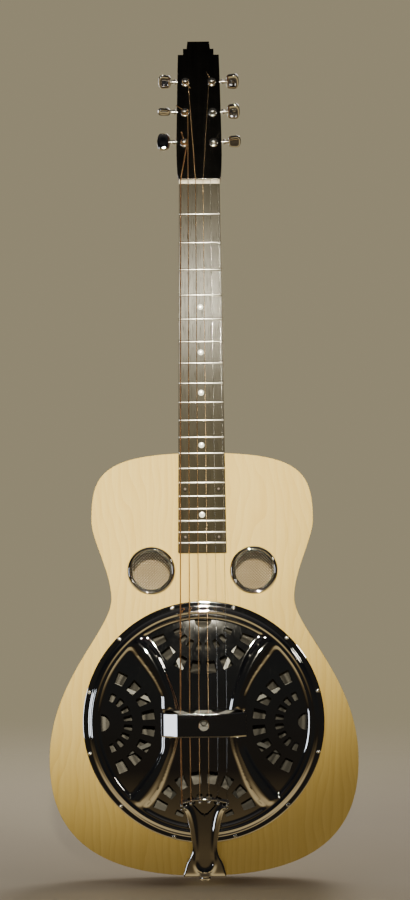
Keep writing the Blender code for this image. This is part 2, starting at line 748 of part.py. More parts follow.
def make_neck(frame, head):
    first = NECK_END_Y + GAP
    places = [first, first + 0.004, first + 0.010, first + 0.018, first + 0.028, first + 0.040]
    places += [first + HEEL_LENGTH, 0.45, 0.55, SCALE_LENGTH, SCALE_LENGTH + NUT_LENGTH, SCALE_LENGTH + 0.018]
    neck = loft("neck", [neck_section(y) for y in places], frame)
    core = plate("headstock_core", [headstock_outline()], HEAD_CORE, head, (0, 0, -HEAD_CORE))
    boolean(neck, "UNION", [core])
    face = plate("headplate", [headstock_outline()], HEAD_PLATE, head, (0, 0, GAP))
    for side, machines in machine_frames.items():
        for i, place in enumerate(machines):
            name = f"post_hole_{side}_{i}"
            hole = cylinder(name, POST_HOLE_RADIUS, -CUT_THROUGH, CUT_THROUGH, place, sides=12)
            boolean(neck, "DIFFERENCE", [hole])
            bored = face.modifiers.new(name, "BOOLEAN")
            bored.object = hole
    finish(neck, "mahogany")
    finish(face, "ebonised")

    low = BODY_DEPTH + GAP
    half_end, half_nut = neck_width(FINGERBOARD_END_Y) / 2, neck_width(SCALE_LENGTH - GAP) / 2
    outline = [
        (-half_end, FINGERBOARD_END_Y),
        (half_end, FINGERBOARD_END_Y),
        (half_nut, SCALE_LENGTH - GAP),
        (-half_nut, SCALE_LENGTH - GAP),
    ]
    finish(plate("fingerboard", [outline], FINGERBOARD_THICKNESS, frame, (0, 0, low)), "rosewood")

    crown = low + FINGERBOARD_THICKNESS + GAP
    for number in range(1, FRETS + 1):
        make_fret(number, crown, frame)

    size = (NUT_WIDTH, NUT_LENGTH, STRING_AT_NUT - GAP - low)
    place = (0, SCALE_LENGTH + NUT_LENGTH / 2, low + size[2] / 2)
    finish(box("nut", size, frame, place, bevel=0.0006), "bone")


def make_fret(number, low, frame):
    """A bar with a half-round crown across the fingerboard."""
    sides = 6
    section = []
    for i in range(sides + 1):
        angle = math.pi * i / sides
        section.append((FRET_WIDTH / 2 * math.cos(angle), FRET_HEIGHT * math.sin(angle)))
    length = neck_width(fret_y(number)) - 0.0006
    place = (-length / 2, fret_y(number), low)
    fret = plate(f"fret_{number:02d}", [section], length, frame, place, (math.pi / 2, 0, math.pi / 2))
    finish(fret, "nickel_silver")


# ---------------------------------------------------------------- tuning machines

def worm_radius(x, angle):
    """The worm's surface at x along the shaft and at angle about it: a right-hand thread on a root."""
    pitch = math.tau * WHEEL_PITCH_RADIUS / WHEEL_TEETH
    phase = (x / pitch - angle / math.tau) % 1.0
    from_crest = min(phase, 1 - phase)
    crest, foot = THREAD_SHARE * 0.32, THREAD_SHARE * 0.85
    share = min(1.0, max(0.0, (foot - from_crest) / (foot - crest)))
    return WORM_ROOT_RADIUS + (WORM_OUTER_RADIUS - WORM_ROOT_RADIUS) * share


def shaft_ring(x, radius_at):
    ring = []
    for i in range(WORM_SIDES):
        angle = math.tau * i / WORM_SIDES
        radius = radius_at(angle)
        ring.append((x, radius * math.cos(angle), radius * math.sin(angle)))
    return ring


def make_knob(name, outward, knob_angle, place):
    """A shaft along X with a worm over its post, and the knob that turns it."""
    worm_end = WORM_LENGTH / 2
    rings = []
    for x in (-SHAFT_START, -worm_end - THREAD_RUN_OUT):
        rings.append(shaft_ring(outward * x, lambda angle: WORM_ROOT_RADIUS))
    for i in range(WORM_STEPS + 1):
        x = outward * WORM_LENGTH * (i / WORM_STEPS - 0.5)
        rings.append(shaft_ring(x, lambda angle, x=x: worm_radius(x, angle)))
    for x, radius in ((worm_end + THREAD_RUN_OUT, WORM_ROOT_RADIUS), *STEM):
        rings.append(shaft_ring(outward * x, lambda angle, radius=radius: radius))
    knob = loft(name, rings, place)
    button = rounded_button(f"{name}_button", knob_angle, place)
    button.location.x = outward * (KNOB_START + KNOB_SIZE[0] / 2)
    boolean(knob, "UNION", [button])
    finish(knob, "chrome")


def rounded_button(name, angle, place):
    """A flat oblong button with full corners and crowned faces."""
    work = bmesh.new()
    bmesh.ops.create_uvsphere(work, u_segments=12, v_segments=6, radius=1.0)
    for vertex in work.verts:
        x, y, z = vertex.co
        around = math.hypot(x, y)
        if around > 0:
            full = min(1.25, 1 / max(abs(x), abs(y)) * around) ** 0.6
            x, y = x * full, y * full
        vertex.co = (x * KNOB_SIZE[0] / 2, y * KNOB_SIZE[1] / 2, z * KNOB_SIZE[2] / 2)
    mesh = bpy.data.meshes.new(name)
    work.to_mesh(mesh)
    work.free()
    return mesh_object(name, mesh, place, rotation=(math.radians(angle), 0, 0))


def wheel_ring(z, lean):
    """The worm wheel's toothed edge at z, its teeth carried round by lean at the pitch circle."""
    ring = []
    tooth = math.tau / WHEEL_TEETH
    crest, root = WHEEL_OUTER_RADIUS, WHEEL_ROOT_RADIUS
    flanks = ((-0.30, root), (-0.14, crest), (0.14, crest), (0.30, root))
    for i in range(WHEEL_TEETH):
        for share, radius in flanks:
            angle = math.pi / 2 + tooth * (i + share) + lean / WHEEL_PITCH_RADIUS
            ring.append((radius * math.cos(angle), radius * math.sin(angle), z))
    return ring


def make_post(name, place):
    """A string post through the headstock with its worm wheel behind."""
    lead = 1 / WHEEL_TEETH * WHEEL_PITCH_RADIUS / WORM_PITCH_RADIUS
    high = -WHEEL_TOP
    low = high - WHEEL_THICKNESS
    lean = lead * WHEEL_THICKNESS / 2
    wheel = loft(name, [wheel_ring(low, -lean), wheel_ring(high, lean)], place)
    hub_low = low - 0.001
    post_top = HEAD_CORE + POST_TOP
    spindle = cylinder(f"{name}_spindle", POST_RADIUS, hub_low, post_top, place, sides=12)
    boolean(wheel, "UNION", [spindle])
    hole_place = (0, 0, post_top - STRING_HOLE_DROP)
    reach = 2 * POST_RADIUS
    hole = cylinder(
        f"{name}_string_hole", STRING_HOLE_RADIUS, -reach, reach, place, hole_place, (0, math.pi / 2, 0), 6
    )
    boolean(wheel, "DIFFERENCE", [hole])
    finish(wheel, "nickel_silver")


def make_machines(head):
    for side, places in machine_frames.items():
        outward = -1 if side == "bass" else 1
        middle = (outward * PLATE_SHIFT[0], PLATE_SHIFT[1], -GAP - PLATE_SIZE[2] / 2)
        base = box(f"tuner_plate_{side}", PLATE_SIZE, side_frames[side], middle)
        worm_y = WHEEL_PITCH_RADIUS + WORM_PITCH_RADIUS
        worm_z = -WHEEL_TOP - WHEEL_THICKNESS / 2
        holes = []
        ears = []
        for i, place in enumerate(places):
            along = (i - 1) * MACHINE_SPACING
            for end in (-1, 1):
                ear_place = (end * EAR_X, along + worm_y, -GAP - EAR[2] / 2)
                ears.append(box(f"ear_{side}_{i}_{end}", EAR, side_frames[side], ear_place))
            reach = 3 * EAR_X
            name = f"plate_hole_{side}_{i}"
            holes.append(cylinder(name, PLATE_HOLE_RADIUS, -reach, reach, place, sides=12))
            holes.append(
                cylinder(
                    f"ear_hole_{side}_{i}",
                    EAR_HOLE_RADIUS,
                    -reach,
                    reach,
                    side_frames[side],
                    (0, along + worm_y, worm_z),
                    (0, math.pi / 2, 0),
                    12,
                )
            )
        boolean(base, "UNION", ears)
        boolean(base, "DIFFERENCE", holes)
        finish(base, "nickel_silver")
        for i, place in enumerate(places):
            number = machine_number(side, i)
            worm = empty(f"worm_axis_{number}", (0, worm_y, worm_z), parent=place)
            make_knob(f"tuner_knob_{number}", outward, KNOB_ANGLES[side][i], worm)
            make_post(f"string_post_{number}", place)


def machine_number(side, index):
    """String number, from 1 on the treble side to 6 on the bass side; index counts from the nut."""
    return 6 - index if side == "bass" else 1 + index


# ---------------------------------------------------------------- strings

def make_strings(frame):
    """Taut wires from the tailpiece over the saddle and the nut to the inner side of each post."""
    bpy.context.view_layer.update()
    to_bench = frame.matrix_world.inverted()
    for i, radius in enumerate(STRING_RADII):
        number = 6 - i
        side = "bass" if number > 3 else "treble"
        index = 6 - number if side == "bass" else number - 1
        inner = 1 if side == "bass" else -1
        across = i - (len(STRING_RADII) - 1) / 2
        place = machine_frames[side][index].matrix_world
        contact = Vector((inner * (POST_RADIUS + radius + GAP), 0, HEAD_CORE + HEAD_PLATE + WINDING_HEIGHT))
        post_end = to_bench @ (place @ contact)
        points = [
            (across * TAIL_SPACING, TAIL_HOOK_Y, STRING_AT_TAIL + radius),
            (across * SADDLE_SPACING, 0, STRING_AT_SADDLE + radius),
            (across * NUT_SPACING, SCALE_LENGTH + 0.0005, STRING_AT_NUT + radius),
            (across * NUT_SPACING, SCALE_LENGTH + NUT_LENGTH, STRING_AT_NUT + radius - 0.0001),
            tuple(post_end),
        ]
        wire = bpy.data.curves.new(f"string_{number}", "CURVE")
        wire.dimensions = "3D"
        wire.bevel_depth = radius
        wire.bevel_resolution = 2
        wire.use_fill_caps = True
        spline = wire.splines.new("POLY")
        spline.points.add(len(points) - 1)
        for point, (x, y, z) in zip(spline.points, points):
            point.co = (x, y, z, 1)
        drawn = bpy.data.objects.new(wire.name, wire)
        parts.objects.link(drawn)
        string = mesh_object(f"string_{number}", meshed(drawn), frame)
        finish(string, "bronze" if number > 2 else "steel")


clear_scene()
guitar = empty("guitar_frame", rotation=QUARTER_X)
headstock = empty("headstock_frame", (0, SCALE_LENGTH + NUT_LENGTH, BODY_DEPTH), (-HEAD_TILT, 0, 0), guitar)
side_frames = {}
machine_frames = {}
for side_name, direction in (("bass", -1), ("treble", 1)):
    side_frames[side_name] = empty(
        f"machines_{side_name}",
        (direction * MACHINE_X, MACHINE_Y, -HEAD_CORE),
        (0, 0, direction * MACHINE_TOE_IN),
        headstock,
    )
    machine_frames[side_name] = [
        empty(
            f"post_axis_{machine_number(side_name, step)}",
            (0, (step - 1) * MACHINE_SPACING, 0),
            parent=side_frames[side_name],
        )
        for step in range(3)
    ]

make_body(guitar)
make_screens(guitar)
make_resonator(guitar)
make_coverplate(guitar)
make_tailpiece(guitar)
make_neck(guitar, headstock)
make_machines(headstock)
make_strings(guitar)
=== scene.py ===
"""Looks of the spider-bridge resonator guitar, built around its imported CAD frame.

Most pieces are modelled as the guitar lies on its back on a bench: +X to the treble side, +Y to the
headstock, +Z up from the back. BENCH stands them up into the row frame. Lengths are in metres, and
lists drawn in millimetres go through mm().
"""

import json
from math import copysign, cos, exp, hypot, pi, radians, sin, sqrt, tan, tau

import bmesh
import bpy
import numpy as np
from mathutils import Matrix, Vector
from mathutils.geometry import interpolate_bezier


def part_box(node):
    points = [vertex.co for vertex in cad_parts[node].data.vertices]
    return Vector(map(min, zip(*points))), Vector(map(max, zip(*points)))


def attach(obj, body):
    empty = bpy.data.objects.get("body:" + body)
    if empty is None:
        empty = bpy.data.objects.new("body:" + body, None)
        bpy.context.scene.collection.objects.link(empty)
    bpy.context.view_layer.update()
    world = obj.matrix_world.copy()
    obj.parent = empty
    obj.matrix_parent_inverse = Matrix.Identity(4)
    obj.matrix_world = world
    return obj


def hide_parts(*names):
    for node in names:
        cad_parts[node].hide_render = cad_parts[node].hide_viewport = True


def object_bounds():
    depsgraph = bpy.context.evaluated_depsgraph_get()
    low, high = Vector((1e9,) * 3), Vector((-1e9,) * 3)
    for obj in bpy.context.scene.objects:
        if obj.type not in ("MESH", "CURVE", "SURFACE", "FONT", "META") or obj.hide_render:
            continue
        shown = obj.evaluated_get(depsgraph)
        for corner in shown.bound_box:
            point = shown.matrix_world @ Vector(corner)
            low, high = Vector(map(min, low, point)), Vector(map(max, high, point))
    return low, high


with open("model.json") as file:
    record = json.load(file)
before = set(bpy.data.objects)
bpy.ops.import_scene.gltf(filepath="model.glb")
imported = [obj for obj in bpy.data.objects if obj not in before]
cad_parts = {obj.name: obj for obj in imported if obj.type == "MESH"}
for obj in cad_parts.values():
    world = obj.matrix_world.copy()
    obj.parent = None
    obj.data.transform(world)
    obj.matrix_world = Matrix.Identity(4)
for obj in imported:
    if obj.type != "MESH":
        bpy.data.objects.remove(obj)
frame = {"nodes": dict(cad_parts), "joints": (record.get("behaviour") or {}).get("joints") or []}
cad_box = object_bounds()


def spin(angle, axis):
    return Matrix.Rotation(angle, 4, axis)


def shift(x, y, z):
    return Matrix.Translation((x, y, z))


def mm(points):
    return [tuple(value / 1000 for value in point) for point in points]


def drawn(height, points, radius=0.0):
    """A profile drawn in millimetres from a height and a radius."""
    return [(radius + out, height + up) for out, up in mm(points)]


def mirrored(half):
    """Points, then their mirror images in reverse."""
    return [*half, *[(-x, y) for x, y in reversed(half)]]


BENCH = spin(pi / 2, "X")
joints = {joint["name"]: joint for joint in frame["joints"]}


def bench_box(node):
    """A CAD node's corners in bench coordinates, as two (x, y, z) vectors."""
    low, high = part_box(node)
    return Vector((low.x, low.z, -high.y)), Vector((high.x, high.z, -low.y))


# ---- sizes taken from the frame

top_low, top_high = bench_box("top_plate")
back_low, back_high = bench_box("back_plate")
board_low, board_high = bench_box("fingerboard")
nut_low, nut_high = bench_box("nut")
rest_low, rest_high = bench_box("handrest")

TOP_Z = top_high.z  # the top plate's face above the back
NUT_Y = nut_low.y
SCALE_LENGTH = 0.635
NECK_END_Y = top_high.y
TAIL_END_Y = top_low.y
COVER_RADIUS = bench_box("coverplate")[1].x
DOME_RADIUS = 0.128
DOME_EDGE = 0.003
DOME_RISE = 0.0069
COVER_THICKNESS = 0.001
SCREEN_X = 0.0606
SCREEN_Y = 0.179
SCREEN_RADIUS = 0.0288
SCREEN_HOLE_RADIUS = 0.0229
SCREEN_MESH_RADIUS = 0.0241
WELL_RADIUS = 0.1365
HEAD_TILT = radians(10)
HEAD = BENCH @ shift(0, nut_high.y, TOP_Z) @ spin(-HEAD_TILT, "X")
STRING_RADII = {6: 0.00068, 5: 0.00054, 4: 0.00043, 3: 0.00033, 2: 0.00021, 1: 0.00019}


# ---- material helpers

def new_material(name):
    made = bpy.data.materials.new(name)
    made.use_nodes = True
    return made, made.node_tree, made.node_tree.nodes["Principled BSDF"]


def feed(node, inputs):
    """Sets inputs, given by name or index, to a value or to another node's socket."""
    for key, value in inputs.items():
        if isinstance(value, bpy.types.NodeSocket):
            node.id_data.links.new(value, node.inputs[key])
        else:
            node.inputs[key].default_value = value


def add(tree, kind, inputs, **settings):
    node = tree.nodes.new("ShaderNode" + kind)
    for key, value in settings.items():
        setattr(node, key, value)
    feed(node, inputs)
    return node


def coordinates(tree, stretch=(1, 1, 1), world=False, offset=(0, 0, 0)):
    """Object coordinates in the bench's axes; world is for a piece kept from the CAD."""
    source = add(tree, "TexCoord", {}).outputs["Object"]
    if world:
        turned_back = {"Vector": source, "Rotation": (-pi / 2, 0, 0)}
        source = add(tree, "Mapping", turned_back).outputs[0]
    inputs = {"Vector": source, "Scale": stretch, "Location": offset}
    return add(tree, "Mapping", inputs).outputs[0]


def noise(tree, scale, stretch=(1, 1, 1), detail=4.0, roughness=0.5, world=False, offset=(0, 0, 0),
          distortion=0.0, output="Fac"):
    vector = coordinates(tree, stretch, world, offset)
    inputs = {"Scale": scale, "Detail": detail, "Roughness": roughness, "Distortion": distortion}
    return add(tree, "TexNoise", {"Vector": vector, **inputs}).outputs[output]


def wave(vector, scale, distortion=0.0, detail=2.0, detail_scale=1.0, **settings):
    inputs = {"Scale": scale, "Distortion": distortion, "Detail": detail, "Detail Scale": detail_scale}
    return add(vector.id_data, "TexWave", {"Vector": vector, **inputs}, **settings).outputs["Fac"]


def ramp(source, stops):
    """A colour ramp; stops are (position, (r, g, b))."""
    node = add(source.id_data, "ValToRGB", {"Fac": source})
    elements = node.color_ramp.elements
    while len(elements) < len(stops):
        elements.new(0.5)
    for element, (position, colour) in zip(elements, stops):
        element.position = position
        element.color = (*colour, 1)
    return node.outputs["Color"]


def mix(factor, first, second):
    """A mix of two colours, each a socket or (r, g, b)."""
    inputs = {0: factor}
    for index, colour in ((6, first), (7, second)):
        inputs[index] = colour if isinstance(colour, bpy.types.NodeSocket) else (*colour, 1)
    return add(factor.id_data, "Mix", inputs, data_type="RGBA").outputs[2]


def span(source, low, high, to_low, to_high):
    inputs = {"Value": source, "From Min": low, "From Max": high, "To Min": to_low, "To Max": to_high}
    return add(source.id_data, "MapRange", inputs).outputs["Result"]


def maths(operation, first, second):
    return add(first.id_data, "Math", {0: first, 1: second}, operation=operation).outputs[0]


def bump(shader, height, distance, strength):
    inputs = {"Height": height, "Distance": distance, "Strength": strength}
    feed(shader, {"Normal": add(shader.id_data, "Bump", inputs).outputs[0]})


def shade(colour, share):
    return tuple(share * value for value in colour)


def wood(name, pale, mid, dark, roughness, world=False, figure=0.5, pore=0.5, along=(0.05, 1.0),
         bands=19.0, coat=0.0, gloss=0.5, depth=0.00012):
    """Sawn wood with its grain along Y: broad growth figure, fine fibres, pores and slow tone changes."""
    made, tree, shader = new_material(name)
    slow = noise(tree, 4.0, (1, 0.5, 1), 3.0, world=world)
    drift = noise(tree, 9.0, (1, 0.35, 1), 3.0, world=world, output="Color")
    drift = add(tree, "VectorMath", {0: drift, "Scale": 0.11}, operation="SCALE").outputs[0]
    straight = coordinates(tree, (1.0, along[0] * 2.6, 1.0), world, (0.013, 0.02, 0))
    warped = add(tree, "VectorMath", {0: straight, 1: drift}, operation="ADD").outputs[0]
    rings = wave(warped, bands, 5.0, 4.0, 0.5, wave_type="BANDS", bands_direction="X",
                 wave_profile="SAW")
    fibre = noise(tree, 1.0, (260, 6 * along[1], 260), 5.0, 0.65, world)
    fine = noise(tree, 1.0, (1300, 22, 1300), 3.0, 0.6, world)
    pores = noise(tree, 1.0, (1500, 55, 1500), 2.0, 0.5, world, (3, 5, 7))
    tone = ramp(span(rings, 0, 1, 0.5 - figure / 2, 0.5 + figure / 2),
                [(0.0, pale), (0.55, mid), (1.0, dark)])
    for source, low, high, most, colour in ((fibre, 0.35, 0.7, 0.45, dark), (slow, 0.3, 0.7, 0.35, mid),
                                            (fine, 0.4, 0.8, 0.25, pale)):
        tone = mix(span(source, low, high, 0.0, most), tone, colour)
    speck = span(pores, 0.62, 0.72, 0.0, pore)
    tone = mix(speck, tone, shade(dark, 0.35))
    rough = span(fibre, 0.3, 0.7, roughness * 0.9, roughness * 1.1)
    raised, sunk = maths("MULTIPLY", fine, 0.6), maths("MULTIPLY", speck, 1.2)
    relief = maths("SUBTRACT", raised, sunk)
    bump(shader, relief, depth, 0.7)
    feed(shader, {"Base Color": tone, "Roughness": rough, "Specular IOR Level": gloss,
                        "Coat Weight": coat, "Coat Roughness": 0.15})
    return made


def metal(name, colour, roughness, brushed=0.0, wear=0.03, world=False, ripple=0.0):
    """Metal with faint smudges in its gloss; brushed adds fine lines and ripple a sheet's waviness."""
    made, tree, shader = new_material(name)
    smudge = noise(tree, 38.0, detail=5.0, roughness=0.6, world=world)
    scratch = noise(tree, 1.0, (900, 60, 900), 2.0, world=world)
    tone = mix(span(smudge, 0.5, 0.78, 0.0, 0.45), colour, shade(colour, 0.72))
    rough = span(smudge, 0.35, 0.75, roughness, roughness + wear)
    rough = maths("ADD", rough, span(scratch, 0.62, 0.75, 0.0, wear))
    height = maths("MULTIPLY", scratch, 0.15 + brushed)
    if ripple:
        waves = noise(tree, 22.0, detail=1.5, roughness=0.4, world=world)
        height = maths("ADD", height, maths("MULTIPLY", waves, ripple))
    bump(shader, height, 0.00004, 0.5)
    feed(shader, {"Metallic": 1.0, "Base Color": tone, "Roughness": rough})
    return made


def wound_wire(name, colour, radius):
    """Bronze wrapped round a core: close turns across the string, with painted shade darkening the grooves
    between them.
    """
    made, tree, shader = new_material(name)
    pitch = 0.55 * radius
    wave_length = 0.31416  # of a band wave whose scale is 1
    turns = wave(coordinates(tree), wave_length / pitch, wave_type="BANDS", bands_direction="Y",
                 wave_profile="SIN")
    age = noise(tree, 45.0, (1, 0.4, 1), 3.0)
    # painted shade: the grooves between the turns are darkened to a quarter of the bronze's tone
    tone = mix(span(turns, 0.0, 0.45, 0.75, 0.0), colour, shade(colour, 0.25))
    tone = mix(span(age, 0.4, 0.75, 0.0, 0.35), tone, shade(colour, 0.55))
    bump(shader, turns, radius * 0.22, 0.8)
    feed(shader, {"Metallic": 1.0, "Base Color": tone, "Roughness": 0.3})
    return made


def bone_look():
    made, tree, shader = new_material("bone_polished")
    veins = noise(tree, 1.0, (60, 25, 25), 4.0, 0.6, distortion=0.4)
    stops = [(0.3, (0.86, 0.8, 0.66)), (0.6, (0.8, 0.72, 0.54)), (0.8, (0.7, 0.6, 0.42))]
    bump(shader, veins, 0.00003, 0.4)
    rough = span(veins, 0.3, 0.8, 0.25, 0.42)
    feed(shader, {"Base Color": ramp(veins, stops), "Roughness": rough,
                        "Subsurface Weight": 0.15, "Subsurface Radius": (0.002, 0.0015, 0.001)})
    return made


def pearl_look():
    made, tree, shader = new_material("pearl_shell")
    swirl = noise(tree, 260.0, detail=3.0, distortion=1.5)
    stops = [(0.25, (0.86, 0.8, 0.78)), (0.45, (0.78, 0.86, 0.82)), (0.6, (0.9, 0.88, 0.8)),
             (0.8, (0.74, 0.78, 0.84))]
    rough = span(swirl, 0.3, 0.7, 0.12, 0.3)
    feed(shader, {"Base Color": ramp(swirl, stops), "Roughness": rough,
                        "Coat Weight": 0.6, "Coat Roughness": 0.08})
    return made


def lacquer_look():
    """Black headstock veneer under gloss lacquer, with dust and fine handling marks."""
    made, tree, shader = new_material("black_lacquer")
    grain = noise(tree, 1.0, (300, 8, 300), 4.0, 0.6)
    haze = noise(tree, 55.0, roughness=0.6)
    worn = span(grain, 0.45, 0.75, 0.0, 0.6)
    tone = mix(worn, (0.0018, 0.0017, 0.0016), (0.005, 0.0044, 0.0038))
    bump(shader, grain, 0.00001, 0.2)
    feed(shader, {"Base Color": tone, "Roughness": span(haze, 0.35, 0.75, 0.1, 0.17),
                        "Coat Weight": 0.25, "Coat Roughness": 0.05})
    return made


def cast_look():
    made, tree, shader = new_material("cast_aluminium")
    grit = noise(tree, 900.0, roughness=0.7, world=True)
    cloud = noise(tree, 70.0, detail=3.0, world=True)
    # painted shade: the spider is toned far darker than cast aluminium for the shade under the coverplate
    # and handrest; the clouding is random tone
    tone = mix(span(cloud, 0.35, 0.7, 0.0, 0.6), (0.15, 0.15, 0.145), (0.09, 0.09, 0.085))
    bump(shader, grit, 0.00008, 0.6)
    rough = span(grit, 0.3, 0.7, 0.38, 0.55)
    feed(shader, {"Metallic": 1.0, "Base Color": tone, "Roughness": rough})
    return made


def spun_look():
    """Spun aluminium: fine rings about the cone's axis and a random clouding, toned far darker than bright
    aluminium as painted shade for the chamber under the coverplate.
    """
    made, tree, shader = new_material("spun_aluminium")
    rings = wave(coordinates(tree, (1, 1, 0)), 260.0, 1.2, wave_type="RINGS", rings_direction="Z",
                 wave_profile="SIN")
    cloud = noise(tree, 26.0)
    # painted shade: both tones sit far below bright aluminium and stand in for the shade under the
    # coverplate
    tone = mix(span(cloud, 0.35, 0.7, 0.0, 0.5), (0.115, 0.11, 0.1), (0.065, 0.062, 0.056))
    bump(shader, rings, 0.00008, 0.5)
    rough = span(rings, 0.0, 1.0, 0.42, 0.55)
    feed(shader, {"Metallic": 1.0, "Base Color": tone, "Roughness": rough})
    return made


MAPLE = ((0.87, 0.65, 0.215), (0.81, 0.58, 0.16), (0.68, 0.44, 0.095))
# PLY is the top's maple darkened as painted shade, taken from sides that stand in shade; the back and the
# inside share it
PLY = ((0.56, 0.41, 0.21), (0.47, 0.33, 0.145), (0.36, 0.235, 0.095))
MAHOGANY = ((0.33, 0.165, 0.085), (0.25, 0.115, 0.055), (0.16, 0.07, 0.035))
ROSEWOOD = ((0.056, 0.048, 0.032), (0.036, 0.031, 0.02), (0.018, 0.015, 0.01))

LOOKS = {
    "top": (wood("maple_top", *MAPLE, 0.55, pore=0.1, along=(0.15, 1.0), bands=33.0, gloss=0.18),
            "top_maple"),
    "ply": (wood("maple_ply_sides", *PLY, 0.52, figure=0.6, pore=0.25), "body_ply"),
    "ply_kept": (wood("maple_ply_inside", *PLY, 0.6, world=True, figure=0.6, pore=0.25), "body_ply"),
    "mahogany": (wood("mahogany_neck", *MAHOGANY, 0.42, figure=0.35, pore=0.6, coat=0.12),
                 "block_mahogany"),
    "mahogany_kept": (wood("mahogany_block", *MAHOGANY, 0.55, world=True, pore=0.6), "block_mahogany"),
    "rosewood": (wood("rosewood_board", *ROSEWOOD, 0.165, figure=0.4, pore=0.6, along=(0.03, 1.4),
                      gloss=0.015, depth=0.00003), "fingerboard_rosewood"),
    "lacquer": (lacquer_look(), "headplate_black"),
    "bone": (bone_look(), "nut_bone"),
    "pearl": (pearl_look(), "nut_bone"),
    "saddle": (wood("maple_saddle", *MAPLE, 0.45, world=True, pore=0.1), "saddle_maple"),
    "chrome": (metal("chrome_plate", (0.78, 0.78, 0.79), 0.02, wear=0.025, ripple=1.5), "chrome"),
    "nickel": (metal("nickel_silver_frets", (0.84, 0.82, 0.77), 0.32, wear=0.04), "nickel_silver"),
    "screen_wire": (metal("screen_wire", (0.8, 0.77, 0.66), 0.1, wear=0.05), "chrome"),
    "machine": (metal("nickel_machines", (0.7, 0.69, 0.66), 0.14, 0.4, 0.1), "machine_nickel"),
    "machine_kept": (metal("nickel_plates", (0.7, 0.69, 0.66), 0.16, 0.4, 0.1, True), "machine_nickel"),
    "brass": (metal("worm_wheel_brass", (0.72, 0.52, 0.24), 0.22, 0.5, 0.1), "machine_nickel"),
    "spun": (spun_look(), "cone_aluminium"),
    "cast": (cast_look(), "spider_aluminium"),
    "screw": (metal("plated_screw", (0.62, 0.62, 0.62), 0.2, wear=0.1), "screw_steel"),
    # painted shade: the tension screw is toned near black for the shade in the handrest's hole
    "screw_kept": (metal("tension_screw_steel", (0.1, 0.1, 0.095), 0.25, 0.0, 0.08, True), "screw_steel"),
    "dark_screw": (metal("blackened_screw", (0.035, 0.03, 0.026), 0.4, wear=0.1), "screw_steel"),
    "plain_wire": (metal("plain_steel_wire", (0.52, 0.51, 0.49), 0.1), "plain_steel"),
}
for number, green, blue in ((6, 0.36, 0.18), (5, 0.4, 0.2), (4, 0.43, 0.23), (3, 0.46, 0.26)):
    bronze = wound_wire(f"wound_bronze_{number}", (0.66, green, blue), STRING_RADII[number])
    LOOKS[f"wound_{number}"] = (bronze, "wound_bronze")


# ---- mesh helpers

def new_piece(name, data, matrix=BENCH):
    made = bpy.data.objects.new(name, data)
    bpy.context.scene.collection.objects.link(made)
    made.matrix_world = matrix
    return made


def dress(piece, look, body="guitar", stands_for=(), smooth=35, flat=False):
    """Gives a piece its material, shading and CAD body; flat keeps broad faces level."""
    material, slot = LOOKS[look]
    piece.data.materials.clear()
    piece.data.materials.append(material)
    if smooth:
        piece.data.shade_smooth()
        piece.data.set_sharp_from_angle(angle=radians(smooth))
    if flat:
        applied(modified(piece, "WEIGHTED_NORMAL", keep_sharp=True))
    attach(piece, body)
    if stands_for:
        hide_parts(*stands_for)


def keep(node, look):
    """A CAD node stays as it is and gets a finished material."""
    material, slot = LOOKS[look]
    kept = frame["nodes"][node]
    kept.data.materials.clear()
    kept.data.materials.append(material)


def from_bmesh(name, work):
    mesh = bpy.data.meshes.new(name)
    work.to_mesh(mesh)
    work.free()
    return mesh


def finished_mesh(piece):
    bpy.context.view_layer.update()
    return bpy.data.meshes.new_from_object(piece.evaluated_get(bpy.context.evaluated_depsgraph_get()))


def modified(piece, kind, **settings):
    modifier = piece.modifiers.new(kind, kind)
    for key, value in settings.items():
        setattr(modifier, key, value)
    return piece


def applied(piece):
    """The piece with its modifiers made real."""
    mesh = finished_mesh(piece)
    piece.modifiers.clear()
    piece.data = mesh
    return piece


def boolean(piece, operation, *others):
    for other in others:
        modified(piece, "BOOLEAN", operation=operation, solver="EXACT", object=other)
    applied(piece)
    for other in others:
        bpy.data.objects.remove(other, do_unlink=True)


def bevelled(piece, width):
    return applied(modified(piece, "BEVEL", width=width, segments=2, limit_method="ANGLE"))


def thicken(piece, thickness):
    applied(modified(piece, "SOLIDIFY", thickness=thickness, offset=-1.0, use_even_offset=True))


def face_up(piece):
    if sum(face.normal.z * face.area for face in piece.data.polygons) < 0:
        piece.data.flip_normals()


def angles(count):
    return [tau * i / count for i in range(count)]


def circle(radius, sides, centre=(0, 0)):
    return [(centre[0] + radius * cos(a), centre[1] + radius * sin(a)) for a in angles(sides)]


def rounded(loop, radius, steps=4):
    """A loop whose corners are turned with short arcs of about the given radius."""
    done = []
    count = len(loop)
    for i in range(count):
        corner = Vector(loop[i])
        before = Vector(loop[i - 1]) - corner
        after = Vector(loop[(i + 1) % count]) - corner
        reach = min(radius, before.length * 0.45, after.length * 0.45)
        start = corner + before.normalized() * reach
        end = corner + after.normalized() * reach
        for k in range(steps + 1):
            t = k / steps
            done.append(tuple((1 - t) ** 2 * start + 2 * t * (1 - t) * corner + t * t * end))
    return done


def swept(name, paths, cyclic, **settings):
    """The welded mesh of a curve that runs straight from point to point of each path."""
    curve = bpy.data.curves.new(name, "CURVE")
    for key, value in settings.items():
        setattr(curve, key, value)
    for path in paths:
        spline = curve.splines.new("POLY")
        spline.points.add(len(path) - 1)
        for point, place in zip(spline.points, path):
            point.co = (*place, 1)
        spline.use_cyclic_u = cyclic
    draft = new_piece(name, curve)
    mesh = finished_mesh(draft)
    bpy.data.objects.remove(draft, do_unlink=True)
    work = bmesh.new()
    work.from_mesh(mesh)
    bmesh.ops.remove_doubles(work, verts=work.verts, dist=1e-6)
    work.to_mesh(mesh)
    work.free()
    mesh.name = name
    return mesh


